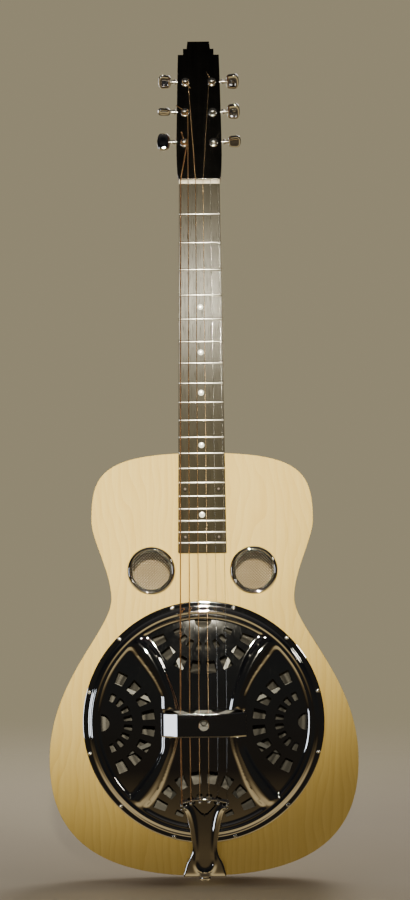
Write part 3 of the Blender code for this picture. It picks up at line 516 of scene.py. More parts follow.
def plate(name, loops, low, high, edge=0.0, matrix=BENCH):
    """A flat piece between two heights with softened edges; every loop after the first is a hole."""
    paths = [[(x, y, 0) for x, y in loop] for loop in loops]
    mesh = swept(name, paths, True, dimensions="2D", fill_mode="BOTH", extrude=(high - low) / 2 - edge,
                 bevel_depth=edge, offset=-edge, bevel_resolution=2)
    for vertex in mesh.vertices:
        vertex.co.z += (low + high) / 2
    return new_piece(name, mesh, matrix)


def wires(name, paths, radius, resolution=2, matrix=BENCH):
    """Round wires along paths, as one mesh."""
    mesh = swept(name, paths, False, dimensions="3D", bevel_depth=radius, bevel_resolution=resolution,
                 use_fill_caps=True)
    return new_piece(name, mesh, matrix)


def skin(name, rows, matrix=BENCH, around=False, caps=False):
    """Quads over rows of points; around closes each row and caps closes the ends."""
    work = bmesh.new()
    made = [[work.verts.new(point) for point in row] for row in rows]
    count = len(rows[0])
    for row, following in zip(made, made[1:]):
        for i in range(count if around else count - 1):
            j = (i + 1) % count
            work.faces.new((row[i], row[j], following[j], following[i]))
    if caps:
        work.faces.new(made[0][::-1])
        work.faces.new(made[-1])
    bmesh.ops.remove_doubles(work, verts=work.verts, dist=1e-7)
    bmesh.ops.recalc_face_normals(work, faces=work.faces)
    return new_piece(name, from_bmesh(name, work), matrix)


def rod(name, rings, matrix=BENCH):
    return skin(name, rings, matrix, around=True, caps=True)


def turned(name, profile, steps=64, matrix=BENCH, centre=(0, 0), closed=False):
    """A profile of (radius, height) points turned about Z; closed joins its last point to its first."""
    points = [*profile, profile[0]] if closed else profile
    rows = [[(x, y, height) for x, y in circle(radius, steps, centre)] for radius, height in points]
    return skin(name, rows, matrix, around=True)


def bore(name, radius, low, high, steps, matrix=BENCH, centre=(0, 0)):
    """A round cutter."""
    return turned(name, [(0, high), (radius, high), (radius, low), (0, low)], steps, matrix, centre)


def smooth_line(points, steps):
    """A Catmull-Rom line through the points."""
    first, second, last, before = (Vector(points[i]) for i in (0, 1, -1, -2))
    ends = [2 * first - second, *map(Vector, points), 2 * last - before]
    line = []
    for a, b, c, d in zip(ends, ends[1:], ends[2:], ends[3:]):
        for k in range(steps):
            t = k / steps
            line.append(0.5 * (2 * b + (c - a) * t + (2 * a - 5 * b + 4 * c - d) * t * t
                               + (3 * b - a - 3 * c + d) * t ** 3))
    return line + [ends[-2]]


def smoothstep(value):
    value = np.clip(value, 0.0, 1.0)
    return value * value * (3 - 2 * value)


# ---- body

def body_outline(inset=0.0):
    """The body's outline from Bezier knots down its treble side, mirrored and then moved inwards."""
    steps = 44
    upper, waist, lower = (0.1309, 0.2378), (0.108, 0.1463), (top_high.x, -0.0446)
    nodes = [
        ((0, NECK_END_Y), (0.1188, NECK_END_Y)),
        ((upper[0], upper[1] + 0.056), upper, (upper[0], upper[1] - 0.0216)),
        ((waist[0], waist[1] + 0.031), waist, (waist[0], waist[1] - 0.0377)),
        ((lower[0], lower[1] + 0.0945), lower, (lower[0], lower[1] - 0.067)),
        ((0.1552, TAIL_END_Y), (0, TAIL_END_Y)),
    ]
    half = []
    for here, there in zip(nodes, nodes[1:]):
        knots = [Vector(here[-2]), Vector(here[-1]), Vector(there[0]), Vector(there[1])]
        half += interpolate_bezier(*knots, steps)[:-1]
    right = [(point.x, point.y) for point in half] + [(0, TAIL_END_Y)]
    outline = right + [(-x, y) for x, y in right[-2:0:-1]]
    moved = []
    for i, (x, y) in enumerate(outline):
        along = (Vector(outline[(i + 1) % len(outline)]) - Vector(outline[i - 1])).normalized()
        moved.append((x + along.y * inset, y - along.x * inset))
    return moved


def make_body():
    holes = [circle(WELL_RADIUS, 160)]
    holes += [circle(SCREEN_HOLE_RADIUS, 96, (side * SCREEN_X, SCREEN_Y)) for side in (-1, 1)]
    top = plate("top_board", [body_outline(), *holes], top_low.z, TOP_Z, 0.0006)
    dress(top, "top", stands_for=["top_plate"], flat=True)
    back = plate("back_board", [body_outline()], back_low.z, back_high.z, 0.0008)
    dress(back, "ply", stands_for=["back_plate"], flat=True)
    rim = plate("bent_sides", [body_outline(0.0004), body_outline(0.003)], back_high.z, top_low.z)
    dress(rim, "ply", stands_for=["side_rim"])
    keep("soundwell", "ply_kept")
    keep("neck_block", "mahogany_kept")
    keep("tail_block", "mahogany_kept")
    strip = 0.004
    for name, low in (("lining_top", top_low.z - strip), ("lining_back", back_high.z)):
        loops = [body_outline(0.003), body_outline(0.008)]
        dress(plate(name, loops, low, low + strip), "mahogany")


# ---- screens

def make_screens():
    curl = [(0, 0.6), (-0.2, 1.2), (0, 2), (0.5, 2.7), (1.1, 3.1), (1.8, 3.2), (2.6, 2.8)]
    edge = [(-1.2, 1.9), (-0.4, 1.2), (0, 0.4), (0, 0.05)]
    sleeve, lining = SCREEN_HOLE_RADIUS - 0.0003, SCREEN_HOLE_RADIUS - 0.0008
    profile = drawn(TOP_Z, curl, SCREEN_MESH_RADIUS) + drawn(TOP_Z, edge, SCREEN_RADIUS)
    profile += [(sleeve, TOP_Z + 0.00005), (sleeve, top_low.z)]
    profile += [(lining, top_low.z), (lining, TOP_Z + 0.0006)]
    for side, node in ((-1, "screen_left"), (1, "screen_right")):
        centre = (side * SCREEN_X, SCREEN_Y)
        ring = turned(f"{node}_ring", profile, 96, centre=centre, closed=True)
        dress(ring, "chrome", stands_for=[node])
        dress(woven(f"{node}_mesh", centre, TOP_Z + 0.001), "screen_wire")


def woven(name, centre, height):
    """Plain weave of wire set at 45 degrees, domed a little towards its middle."""
    pitch, wire, rise = 0.0024, 0.00025, 0.0016
    turn = sqrt(0.5)
    count = int(SCREEN_MESH_RADIUS / pitch)
    paths = []
    for direction in (0, 1):
        for i in range(-count, count + 1):
            across = i * pitch
            reach = sqrt(max(0.0, SCREEN_MESH_RADIUS ** 2 - across ** 2))
            steps = max(2, int(2 * reach / (pitch / 4)))
            path = []
            for k in range(steps + 1):
                along = -reach + 2 * reach * k / steps
                lift = wire * cos(pi * along / pitch + pi * (i + direction))
                lift += rise * (1 - (along ** 2 + across ** 2) / SCREEN_MESH_RADIUS ** 2)
                x, y = (along, across) if direction else (across, along)
                path.append((centre[0] + (x - y) * turn, centre[1] + (x + y) * turn, height + lift))
            if reach > pitch:
                paths.append(path)
    return wires(name, paths, wire, 1)


# ---- resonator

def make_resonator():
    low, high = bench_box("resonator_cone")
    radius, lip = high.x, high.z
    floor = low.z + 0.0009
    slope_start, slope_end, steps, ridges = 0.028, 0.119, 60, 7
    profile = drawn(floor, [(2.6, 8), (8, 7.8), (14, 5), (20, 1.2), (28, 0)])
    for i in range(1, steps):
        share = i / steps
        place = slope_start + share * (slope_end - slope_start)
        climb = floor + (lip - 0.003 - floor) * share ** 0.93
        profile.append((place, climb + 0.0004 * max(0.0, sin(share * tau * ridges)) ** 3))
    profile += drawn(lip, [(119.5, -3.4), (122, -3), (124.5, -0.6), (126, 0)]) + [(radius, lip)]
    cone = turned("spun_cone", profile, 144)
    thicken(cone, 0.0005)
    dress(cone, "spun", stands_for=["resonator_cone"])
    for node, look in (("spider_bridge", "cast"), ("saddle_bass", "saddle"), ("saddle_treble", "saddle"),
                       ("tension_screw", "screw_kept")):
        keep(node, look)


# ---- coverplate

PANEL_DEPTH = 0.0022
PANEL_WALL = 0.0036
PANEL_EDGE_RADIUS = 0.1255
FAN_DISTANCE = 0.1215
FAN_PITCH = radians(18.6)
FAN_EYE_RADIUS = 0.0103
BEAD_RADIUS = 0.1312
FALL_RADIUS = 0.1335
EDGE_ROUND_RADIUS = 0.1419
COVER_SCREW_RADIUS = 0.1397
SHEET = 0.0011  # the pressed metal of the handrest and the tailpiece
LEAF = mm([(32.5, 14), (36.2, 32), (42.3, 49.8), (49.4, 69), (57, 83.2), (64, 92.5), (71.8, 99),
           (80, 104), (90, 101), (88, 95), (76.6, 79.2), (66.5, 66), (58, 53.7), (52, 42.5), (47.2, 31),
           (45.5, 14)])


def away_from_leaf(x, y):
    """Distance from one of the four leaf-shaped lands between the fans; negative inside it."""
    outline = smooth_line([*LEAF, LEAF[0]], 5)
    px, py = np.abs(x), np.abs(y)
    nearest = np.full_like(px, 1.0)
    inside = np.zeros(px.shape, bool)
    for a, b in zip(outline, outline[1:]):
        run, climb = b.x - a.x, b.y - a.y
        share = np.clip(((px - a.x) * run + (py - a.y) * climb) / max(1e-12, run ** 2 + climb ** 2), 0, 1)
        nearest = np.minimum(nearest, np.hypot(px - a.x - share * run, py - a.y - share * climb))
        if climb:
            inside ^= ((a.y > py) != (b.y > py)) & (px < run * (py - a.y) / climb + a.x)
    return np.where(inside, -nearest, nearest)


def cover_height(x, y):
    """The coverplate's top: a dome with a rolled rim, and four sunk fans between leaf-shaped lands."""
    radius = np.hypot(x, y)
    dome = DOME_EDGE + DOME_RISE * (1 - (np.minimum(radius, DOME_RADIUS) / DOME_RADIUS) ** 2)
    from_leaf = away_from_leaf(x, y)
    from_rim = PANEL_EDGE_RADIUS - radius
    blend = 0.006
    meet = np.clip(0.5 + 0.5 * (from_rim - from_leaf) / blend, 0, 1)
    within = from_rim * (1 - meet) + from_leaf * meet - blend * meet * (1 - meet)
    sink = PANEL_DEPTH * np.sin(np.clip(within / PANEL_WALL, 0, 1) * pi / 2)
    crown = 0.0013 * smoothstep(-from_leaf / 0.009)
    bead = 0.001 * np.exp(-((radius - BEAD_RADIUS) / 0.0017) ** 2)
    fall = smoothstep((radius - FALL_RADIUS) / 0.0036)
    flange = 0.0013
    inner = dome - sink + bead + crown * smoothstep((PANEL_EDGE_RADIUS + 0.002 - radius) / 0.006)
    return TOP_Z + inner * (1 - fall) + flange * fall


def fan_loops(turn):
    focus = Vector((cos(turn), sin(turn))) * FAN_DISTANCE
    inward = turn + pi
    loops = []
    for reach, length, half_degrees in ((0.0325, 0.01, 5.4), (0.057, 0.015, 5.6)):
        for i in range(8):
            middle = inward + (i - 3.5) * FAN_PITCH
            loop = []
            for along, across in ((-1, -1), (1, -1), (1, 1), (-1, 1)):
                angle = middle + across * radians(half_degrees)
                place = reach + along * length / 2
                loop.append((focus.x + place * cos(angle), focus.y + place * sin(angle)))
            loops.append(rounded(loop, 0.0011, 3))
    eye = []
    for i in range(17):
        angle = inward - pi / 2 + pi * i / 16
        eye.append((focus.x + FAN_EYE_RADIUS * cos(angle), focus.y + FAN_EYE_RADIUS * sin(angle)))
    loops.append(eye)
    return loops


def make_coverplate():
    radii = list(np.arange(0.009, 0.127, 0.0012)) + list(np.arange(0.127, 0.1405, 0.0006))
    radii += [0.1412, EDGE_ROUND_RADIUS, 0.1424, COVER_RADIUS]
    sides = 384
    rows = []
    for surface in (0, 1):
        for radius in radii if surface == 0 else reversed(radii):
            x, y = radius * np.cos(angles(sides)), radius * np.sin(angles(sides))
            z = cover_height(x, y) - surface * (COVER_THICKNESS - 0.00005)
            rounding = max(0.0, radius - EDGE_ROUND_RADIUS) * 0.5
            z += rounding if surface else -rounding
            rows.append(list(zip(x, y, z)))
    rows.append(rows[0])
    cover = skin("pierced_coverplate", rows, around=True)
    loops = [rounded(mirrored(mm([(46, -15), (46, 15)])), 0.004, 5)]
    for quarter in range(4):
        loops += fan_loops(quarter * pi / 2)
    cutter = plate("piercings", loops, TOP_Z - 0.03, TOP_Z + 0.03)
    boolean(cover, "DIFFERENCE", cutter)
    dress(cover, "chrome", stands_for=["coverplate"], smooth=32)
    head = screw_mesh("cover_screw_head", 0.0024, 0.0013, 0.0006)
    for i in range(12):
        angle = radians(15 + 30 * i)
        place = spin(angle, "Z") @ shift(COVER_SCREW_RADIUS, 0, TOP_Z + 0.00125)
        screw = new_piece(f"cover_screw_{i + 1}", head, BENCH @ place @ spin(angle * 2.7, "Z"))
        dress(screw, "screw")


def screw_mesh(name, radius, height, slot):
    """A domed screw head with a driver slot, sitting on Z = 0."""
    profile = [(0, height)]
    for i in range(1, 9):
        angle = pi / 2 * i / 8
        profile.append((radius * sin(angle), height * cos(angle)))
    profile += [(radius, -0.0004), (0, -0.0004)]
    head = turned(name, profile, 32, Matrix.Identity(4))
    work = bmesh.new()
    bmesh.ops.create_cube(work, size=1.0)
    bmesh.ops.scale(work, vec=(radius * 3, slot, height), verts=work.verts)
    bmesh.ops.translate(work, vec=(0, 0, height), verts=work.verts)
    boolean(head, "DIFFERENCE", new_piece("slot", from_bmesh("slot", work), Matrix.Identity(4)))
    mesh = head.data
    bpy.data.objects.remove(head, do_unlink=True)
    return mesh


def make_handrest():
    """A bent strap over the saddle: flat in the middle, with sloping ends, rolled edges and a hole."""
    half, foot, top = rest_high.x, rest_low.z, rest_high.z
    side = [(-half, foot), (-half + 0.0001, foot + 0.0016), (-half + 0.0007, foot + 0.0031)]
    side += mm([(-48, 101.6), (-46, 103), (-40, 106.55), (-34.5, 109.8), (-32.5, 110.9), (-31.2, 111.6)])
    side += [(-0.0295, top), (-0.027, top), (-0.012, top)]
    line = smooth_line([*side, (0, top)], 5)
    line += [Vector((-point.x, point.y)) for point in reversed(line[:-1])]
    width = rest_high.y - rest_low.y
    middle = (rest_high.y + rest_low.y) / 2
    rows = []
    for k in range(29):
        share = -1 + 2 * k / 28
        drop = 0.0007 * max(0.0, (abs(share) - 0.92) / 0.08) ** 2
        across = middle + share * width / 2
        rows.append([(p.x, across, p.y - (drop if p.y > foot + 0.002 else 0)) for p in line])
    strap = skin("handrest_strap", rows)
    face_up(strap)
    thicken(strap, SHEET)
    hole = bore("hole", 0.0062, 0.09, 0.13, 48, centre=(0, middle))
    boolean(strap, "DIFFERENCE", hole)
    dress(bevelled(strap, 0.0003), "chrome", stands_for=["handrest"])


# ---- tailpiece

TAIL_BEND = TAIL_END_Y - 0.0015
PIN_Z = 0.044
TAIL_PATH = mm([(-88.5, 96.8), (-100, 96.1), (-115, 95.1), (-131, 94), (-146, 92.8), (-162, 91.4),
                (-174, 90.4)])
TAIL_PATH += drawn(TOP_Z, [(4, 1.8), (1.6, 1.4), (0.4, 0.6), (0, -1.2), (0, -10), (0, -30)], TAIL_BEND)
TAIL_PATH += [(TAIL_BEND, 0.0302)]
TAIL_INNER = mm([(16.5, 4.8), (14, 8.5), (11.2, 11.8), (7.5, 16), (3.5, 20), (0, 22.8), (0, 40),
                 (0, 54.2), (0, 63), (0, 70.4), (0, 79.2), (0, 90.5)])
TAIL_OUTER = mm([(28, 14.6), (25.4, 14.6), (23, 17), (21.2, 21.8), (19.8, 26.8), (18.6, 32.5),
                 (16.7, 42), (15, 54.2), (14.8, 62.5), (16.8, 70.4), (21.4, 79.2), (24.6, 90.5)])
TAIL_RIB = mm([(26.2, 12.8), (22.2, 12.4), (18.4, 15), (15.6, 20.5), (13.4, 29), (11.7, 40),
               (10.5, 54.2), (10.3, 63), (10.8, 70), (11.2, 76), (10.4, 81.5), (8, 86), (4.2, 88.6),
               (0, 89.5)])


def bent(path, x, s, lift):
    """A point of the tailpiece's flat blank, s along the sheet from the string bar, bent to its path."""
    for here, there in zip(path, path[1:]):
        length = (there - here).length
        if s <= length or there is path[-1]:
            place = here.lerp(there, s / length)
            normal = Vector((there.y - here.y, here.x - there.x)).normalized()
            return (x, place.x + normal.x * lift, place.y + normal.y * lift)
        s -= length


def tail_lift(x, s, edge, rib):
    """How far the sheet is pressed up: a rib along each arm that turns back in a U, and rolled edges."""
    nearest = min(hypot(x - point.x, s - point.y) for point in rib)
    lift = 0.0016 * exp(-(nearest / 0.0024) ** 2)
    within = max(0.0, 1 - edge / 0.0022)
    return lift - 0.001 * within ** 2


def make_tailpiece():
    """A stamped lyre: two arms that hook outwards, joined at a stem that spreads into the foot."""
    path = smooth_line(TAIL_PATH, 4)
    inner, outer, rib = smooth_line(TAIL_INNER, 9), smooth_line(TAIL_OUTER, 9), smooth_line(TAIL_RIB, 36)
    across = 28
    rows = []
    for a, b in zip(inner, outer):
        row = []
        for k in range(across + 1):
            place = a.lerp(b, k / across)
            edge = (b - place).length
            row.append((max(place.x, 0.0), place.y, tail_lift(place.x, place.y, edge, rib)))
        rows.append(row)
    for s, half in mm([(93.5, 25), (95, 25.2), (96.5, 25.2), (98, 25.2), (100, 25.2), (112, 24.3),
                       (126, 22.2), (138, 18.8), (147, 15), (152.5, 11)]):
        rows.append([(half * k / across, s, 0.0) for k in range(across + 1)])
    work = bmesh.new()
    grid = []
    for row in rows:
        right = [bent(path, *point) for point in row]
        points = [(-x, y, z) for x, y, z in right[::-1]] + right
        grid.append([work.verts.new(point) for point in points])
    for row, following in zip(grid, grid[1:]):
        for i in range(len(row) - 1):
            if i != across:
                work.faces.new((row[i], row[i + 1], following[i + 1], following[i]))
    bmesh.ops.remove_doubles(work, verts=work.verts, dist=1e-6)
    bmesh.ops.recalc_face_normals(work, faces=work.faces)
    lyre = new_piece("tailpiece_lyre", from_bmesh("tailpiece_lyre", work))
    face_up(lyre)
    thicken(lyre, SHEET)
    hole_place = BENCH @ shift(0, TAIL_BEND, PIN_Z) @ spin(pi / 2, "X")
    hole = bore("hole", 0.0046, -0.02, 0.02, 32, hole_place)
    boolean(lyre, "DIFFERENCE", hole)
    dress(bevelled(lyre, 0.00025), "chrome", stands_for=["tailpiece"], smooth=40)
    bar = [(x, string_end_y(x) - 0.0012, 0.096) for x in np.linspace(-0.0286, 0.0286, 41)]
    dress(wires("string_bar", [bar], 0.0014, 5), "chrome", smooth=60)

    profile = mm([(0, 13.1), (3, 13.1), (5.2, 12.5), (6.5, 11.2), (6.9, 9.6), (6.6, 8.2), (5.5, 6.6),
                  (4.6, 5), (4.4, 3.8), (4.8, 2.8), (6.2, 2.1), (7.2, 1.9), (7.2, 1.6), (3.5, 1.6),
                  (3.5, -20), (0, -20)])
    pin = BENCH @ shift(0, TAIL_END_Y, PIN_Z) @ spin(pi / 2, "X")
    dress(turned("strap_pin", profile, 48, pin), "chrome", stands_for=["end_pin"])


# ---- neck

HEEL_LENGTH = 0.052
HEEL_DEPTH = 0.078
BORE_RADIUS = 0.0036


def neck_width(y):
    share = (board_high.y - y) / (board_high.y - board_low.y)
    return (nut_high.x + (board_high.x - nut_high.x) * share) * 2


def neck_ring(y):
    """The neck's section at a place along it, with a flat top; it deepens into the heel at the body."""
    sides = 48
    half = neck_width(y) / 2
    depth = 0.021 + 0.004 * (SCALE_LENGTH - y) / SCALE_LENGTH
    heel = max(0.0, 1 - (y - NECK_END_Y) / HEEL_LENGTH) ** 2.2
    depth += (HEEL_DEPTH - depth) * heel
    past = max(0.0, y - nut_high.y)
    top = TOP_Z - past * tan(HEAD_TILT) * 1.15
    depth -= past * 0.5
    ring = []
    for i in range(sides + 1):
        angle = pi * i / sides
        across = copysign(abs(cos(angle)) ** 0.75, cos(angle))
        down = sin(angle) ** 0.85
        ring.append((half * across * (1 - 0.35 * heel * down), y, top - depth * down))
    return ring


def head_outline():
    edge = mm([(24.5, 0.5), (26.2, 12), (26.8, 45), (25.3, 120), (24.4, 154)])
    right = [tuple(point) for point in smooth_line(edge, 6)]
    return mirrored(right + mm([(18.2, 154), (18.2, 161.4), (14, 161.4), (12.9, 170.4)]))


def make_neck():
    places = [NECK_END_Y + 0.0003 + HEEL_LENGTH * (i / 30) ** 1.4 for i in range(31)]
    places += [0.39 + i * 0.02 for i in range(13)] + [NUT_Y, nut_high.y]
    places += [nut_high.y + i * 0.002 for i in range(1, 7)]
    shaft = rod("neck_shaft", [neck_ring(y) for y in places])
    core = plate("core", [head_outline()], -0.013, 0.0, 0.0006, HEAD)
    boolean(shaft, "UNION", core)
    boolean(shaft, "DIFFERENCE", *post_cutters())
    dress(shaft, "mahogany", stands_for=["neck"], smooth=38, flat=True)
    veneer = plate("headstock_veneer", [head_outline()], 0.00005, 0.0023, 0.0005, HEAD)
    boolean(veneer, "DIFFERENCE", *post_cutters())
    dress(veneer, "lacquer", stands_for=["headplate"], flat=True)

    outline = rounded(mirrored([(board_high.x, board_low.y), (nut_high.x, NUT_Y)]), 0.0008)
    board = plate("rosewood_fingerboard", [outline], TOP_Z + 0.00005, board_high.z, 0.0004)
    dress(board, "rosewood", stands_for=["fingerboard"], flat=True)
    for number in range(1, 20):
        make_fret(number)
    make_markers()
    make_nut()


def fret_y(number):
    return SCALE_LENGTH * 2 ** (-number / 12)


def make_fret(number):
    """A crowned fret with its ends filed back at a slant."""
    low, high = bench_box(f"fret_{number:02d}")
    middle = (low.y + high.y) / 2
    half_width, crown = (high.y - low.y) / 2, high.z - board_high.z
    rows = []
    for share, height in mirrored([(-1.0, 0.0), (-0.995, 0.55), (-0.985, 0.9), (-0.97, 1.0)]):
        row = []
        for i in range(13):
            angle = pi * i / 12
            z = board_high.z - 0.00005 + crown * max(0.02, height) * sin(angle) ** 0.8
            row.append((share * high.x, middle + half_width * cos(angle), z))
        rows.append(row)
    fret = rod(f"fret_wire_{number:02d}", rows)
    dress(fret, "nickel", stands_for=[f"fret_{number:02d}"], smooth=50)


def make_markers():
    disc = mm([(0, 0.08), (3.1, 0.08), (3.4, 0.02), (3.4, -1.2), (0, -1.2)])
    for i, fret in enumerate((5, 7, 9, 12, 17)):
        middle = (fret_y(fret) + fret_y(fret - 1)) / 2
        place = BENCH @ shift(0, middle, board_high.z)
        dress(turned(f"pearl_dot_{i + 1}", disc, 32, place), "pearl")
    head = screw_mesh("board_screw_head", 0.0026, 0.0005, 0.0007)
    screw_x = 0.0198
    for i, fret in enumerate((15, 19)):
        middle = (fret_y(fret) + fret_y(fret - 1)) / 2
        for side in (-1, 1):
            place = BENCH @ shift(side * screw_x, middle, board_high.z + 0.00002)
            place = place @ spin(0.6 + i * side, "Z")
            dress(new_piece(f"board_screw_{2 * i + (side + 3) // 2}", head, place), "dark_screw")


def make_nut():
    nut = rod("bone_nut", nut_rows())
    slots = []
    for number in range(1, 7):
        x, z = string_x(number, NUT_SPACING), string_nut_z(number)
        path = [(x, NUT_Y - 0.004, z), (x, nut_high.y + 0.004, z - 0.0003)]
        slots.append(wires(f"slot_{number}", [path], STRING_RADII[number] * 1.12 + 0.0001, 3))
    boolean(nut, "DIFFERENCE", *slots)
    dress(bevelled(nut, 0.0002), "bone", stands_for=["nut"])


def nut_rows():
    """The nut leans back from the fingerboard and is rounded over its top."""
    low, back, top = TOP_Z + 0.00005, nut_high.y, nut_high.z + 0.00055
    section = [(NUT_Y, low), *drawn(top, [(0, -0.4), (0.6, -0.05), (2, 0), (3.6, -0.5)], NUT_Y),
               (back - 0.0004, top - 0.0018), (back, top - 0.0028), (back, low)]
    rows = []
    for share, drop in mirrored([(-1, 0.0012), (-0.985, 0.0004), (-0.95, 0.0)]):
        rows.append([(share * nut_high.x, y, z - (drop if z > top - 0.003 else 0)) for y, z in section])
    return rows


# ---- strings

NUT_SPACING = 0.0088
SADDLE_SPACING = 0.01104
BAR_SPACING = 0.0107
SADDLE_Z = 0.1026
BAR_Y = -0.0895
BAR_Z = 0.0976
BAR_BOW = 0.0045
BAR_HALF = 0.0288


def string_x(number, spacing):
    return (3.5 - number) * spacing


def string_nut_z(number):
    return nut_high.z + 0.0003 + STRING_RADII[number]


def machine(number):
    """The frame of a machine: X along its worm shaft, Z along its post, origin at the post's foot."""
    worm, post = joints[f"knob_{number}_turn"], joints[f"post_{number}_turn"]
    along, up = Vector(worm["axis"]).normalized(), Vector(post["axis"]).normalized()
    made = Matrix.Identity(4)
    for column, axis in enumerate((along, up.cross(along), up)):
        for row in range(3):
            made[row][column] = axis[row]
    made.translation = Vector(post["pos_m"])
    return made


def post_cutters():
    return [bore(f"bore_{number}", BORE_RADIUS, -0.01, 0.03, 32, machine(number)) for number in range(1, 7)]


POST_FACE = 0.0153  # the veneer's face above a post's foot
WIND_Z = 0.0195  # where a string meets its post, above the post's foot
POST_RADIUS = 0.003
POST_HOLE_Z = 0.021  # the string hole, above the post's foot


def string_end_y(x):
    """Where the arched string bar stands across the guitar."""
    return BAR_Y - BAR_BOW * (x / BAR_HALF) ** 2


def make_strings():
    from_world = BENCH.inverted()
    for number in range(1, 7):
        radius = STRING_RADII[number]
        inward = 1 if number > 3 else -1
        wind_radius = POST_RADIUS + radius
        contact = from_world @ (machine(number) @ Vector((inward * wind_radius, 0, WIND_Z)))
        spacings = (BAR_SPACING, SADDLE_SPACING, NUT_SPACING)
        x_tail, x_saddle, x_nut = (string_x(number, spacing) for spacing in spacings)
        saddle_z, tail_z, nut_z = SADDLE_Z + radius, BAR_Z + radius, string_nut_z(number)
        path = [(x_tail, string_end_y(x_tail), tail_z), (x_saddle, -0.0016, saddle_z - 0.0001),
                (x_saddle, 0, saddle_z), (x_saddle, 0.0016, saddle_z - 0.00001),
                (x_nut, NUT_Y + 0.0005, nut_z), (x_nut, NUT_Y + 0.002, nut_z),
                (x_nut, NUT_Y + 0.0036, nut_z - 0.0003), tuple(contact)]
        look = f"wound_{number}" if number > 2 else "plain_wire"
        wire = wires(f"string_wire_{number}", [path], radius, 3)
        dress(wire, look, stands_for=[f"string_{number}"], smooth=60)
        make_winding(number, inward, wind_radius, look)
        make_ball_end(number, x_tail, tail_z, look)


def make_winding(number, inward, wind_radius, look):
    """The turns on the post, and the clipped tail that pokes from its hole."""
    radius = STRING_RADII[number]
    turns = 3.2 if number > 3 else 4.2
    path = []
    steps = int(turns * 28)
    start = 0.0 if inward > 0 else pi
    for i in range(steps + 1):
        angle = start + inward * tau * turns * i / steps
        z = WIND_Z - 2.05 * radius * turns * i / steps
        path.append((wind_radius * cos(angle), wind_radius * sin(angle), z))
    winding = wires(f"string_winding_{number}", [path], radius, 2, machine(number))
    dress(winding, look, f"post_{number}", smooth=60)
    lean = (0.9, -2.3, 2.1, -1.0, 2.6, 1.9)[number - 1]
    tail = []
    for i in range(9):
        out = -POST_RADIUS * 0.8 + 0.0145 * i / 8
        tail.append((out * cos(lean), out * sin(lean), POST_HOLE_Z + 0.0009 * (i / 8) ** 2))
    clipped = wires(f"string_tail_{number}", [tail], radius * 0.92, 2, machine(number))
    dress(clipped, look, f"post_{number}", smooth=60)


def make_ball_end(number, x, z, look):
    """The string's twisted end over the bar, and the ball that holds it behind the bar."""
    profile = mm([(0.6, 1.5), (1.4, 1.5), (1.9, 1), (2.1, 0), (1.9, -1), (1.4, -1.5), (0.6, -1.5)])
    end = string_end_y(x)
    place = BENCH @ shift(x, end - 0.0042, z - 0.0002) @ spin(pi / 2, "Y")
    dress(turned(f"ball_end_{number}", profile, 24, place, closed=True), "screw")
    radius = STRING_RADII[number]
    coil = []
    for i in range(60):
        angle = tau * 5 * i / 59
        y = end - 0.0024 + 0.0065 * i / 59
        coil.append((x + radius * 1.25 * cos(angle), y, z + radius * 1.25 * sin(angle)))
    dress(wires(f"string_twist_{number}", [coil], radius * 0.6, 2), look, smooth=60)


# ---- tuning machines

POST_TOP = 0.0244
WHEEL_TEETH = 14
WHEEL_PITCH_RADIUS = 0.0045
WHEEL_TOP = -0.0031
WHEEL_THICKNESS = 0.0025
WORM_Y = 0.0065
WORM_Z = WHEEL_TOP - WHEEL_THICKNESS / 2
WORM_ROOT = 0.0014
WORM_OUTER = 0.00245
WORM_LENGTH = 0.0054
WORM_PITCH = tau * WHEEL_PITCH_RADIUS / WHEEL_TEETH
WORM_PITCH_RADIUS = WORM_Y - WHEEL_PITCH_RADIUS
KNOB_ANGLES = {6: 0, 5: 90, 4: 60, 1: 70, 2: 50, 3: 50}


def make_machines():
    keep("tuner_plate_bass", "machine_kept")
    keep("tuner_plate_treble", "machine_kept")
    for number in range(1, 7):
        outward = -1 if number > 3 else 1
        make_post(number)
        make_knob(number, outward)
        make_bushing(number)
    head = screw_mesh("plate_screw_head", 0.0023, 0.0011, 0.0005)
    for name, side, numbers in (("bass", -1, (6, 5, 4)), ("treble", 1, (1, 2, 3))):
        spots = [(numbers[0], -0.009), (numbers[0], 0.0187), (numbers[1], 0.0187), (numbers[2], 0.0122)]
        for i, (number, y) in enumerate(spots):
            turn = spin(pi, "X") @ spin(0.7 * i + side, "Z")
            place = machine(number) @ shift(0, y, -0.0015) @ turn
            dress(new_piece(f"plate_screw_{name}_{i + 1}", head, place), "screw")


def make_bushing(number):
    profile = drawn(POST_FACE, [(3.4, -4), (3.4, 1.2), (4, 1.3), (5, 0.9), (5.4, 0.4), (5.4, 0), (3.58, 0),
                                (3.58, -4)])
    dress(turned(f"post_bushing_{number}", profile, 40, machine(number), closed=True), "machine")


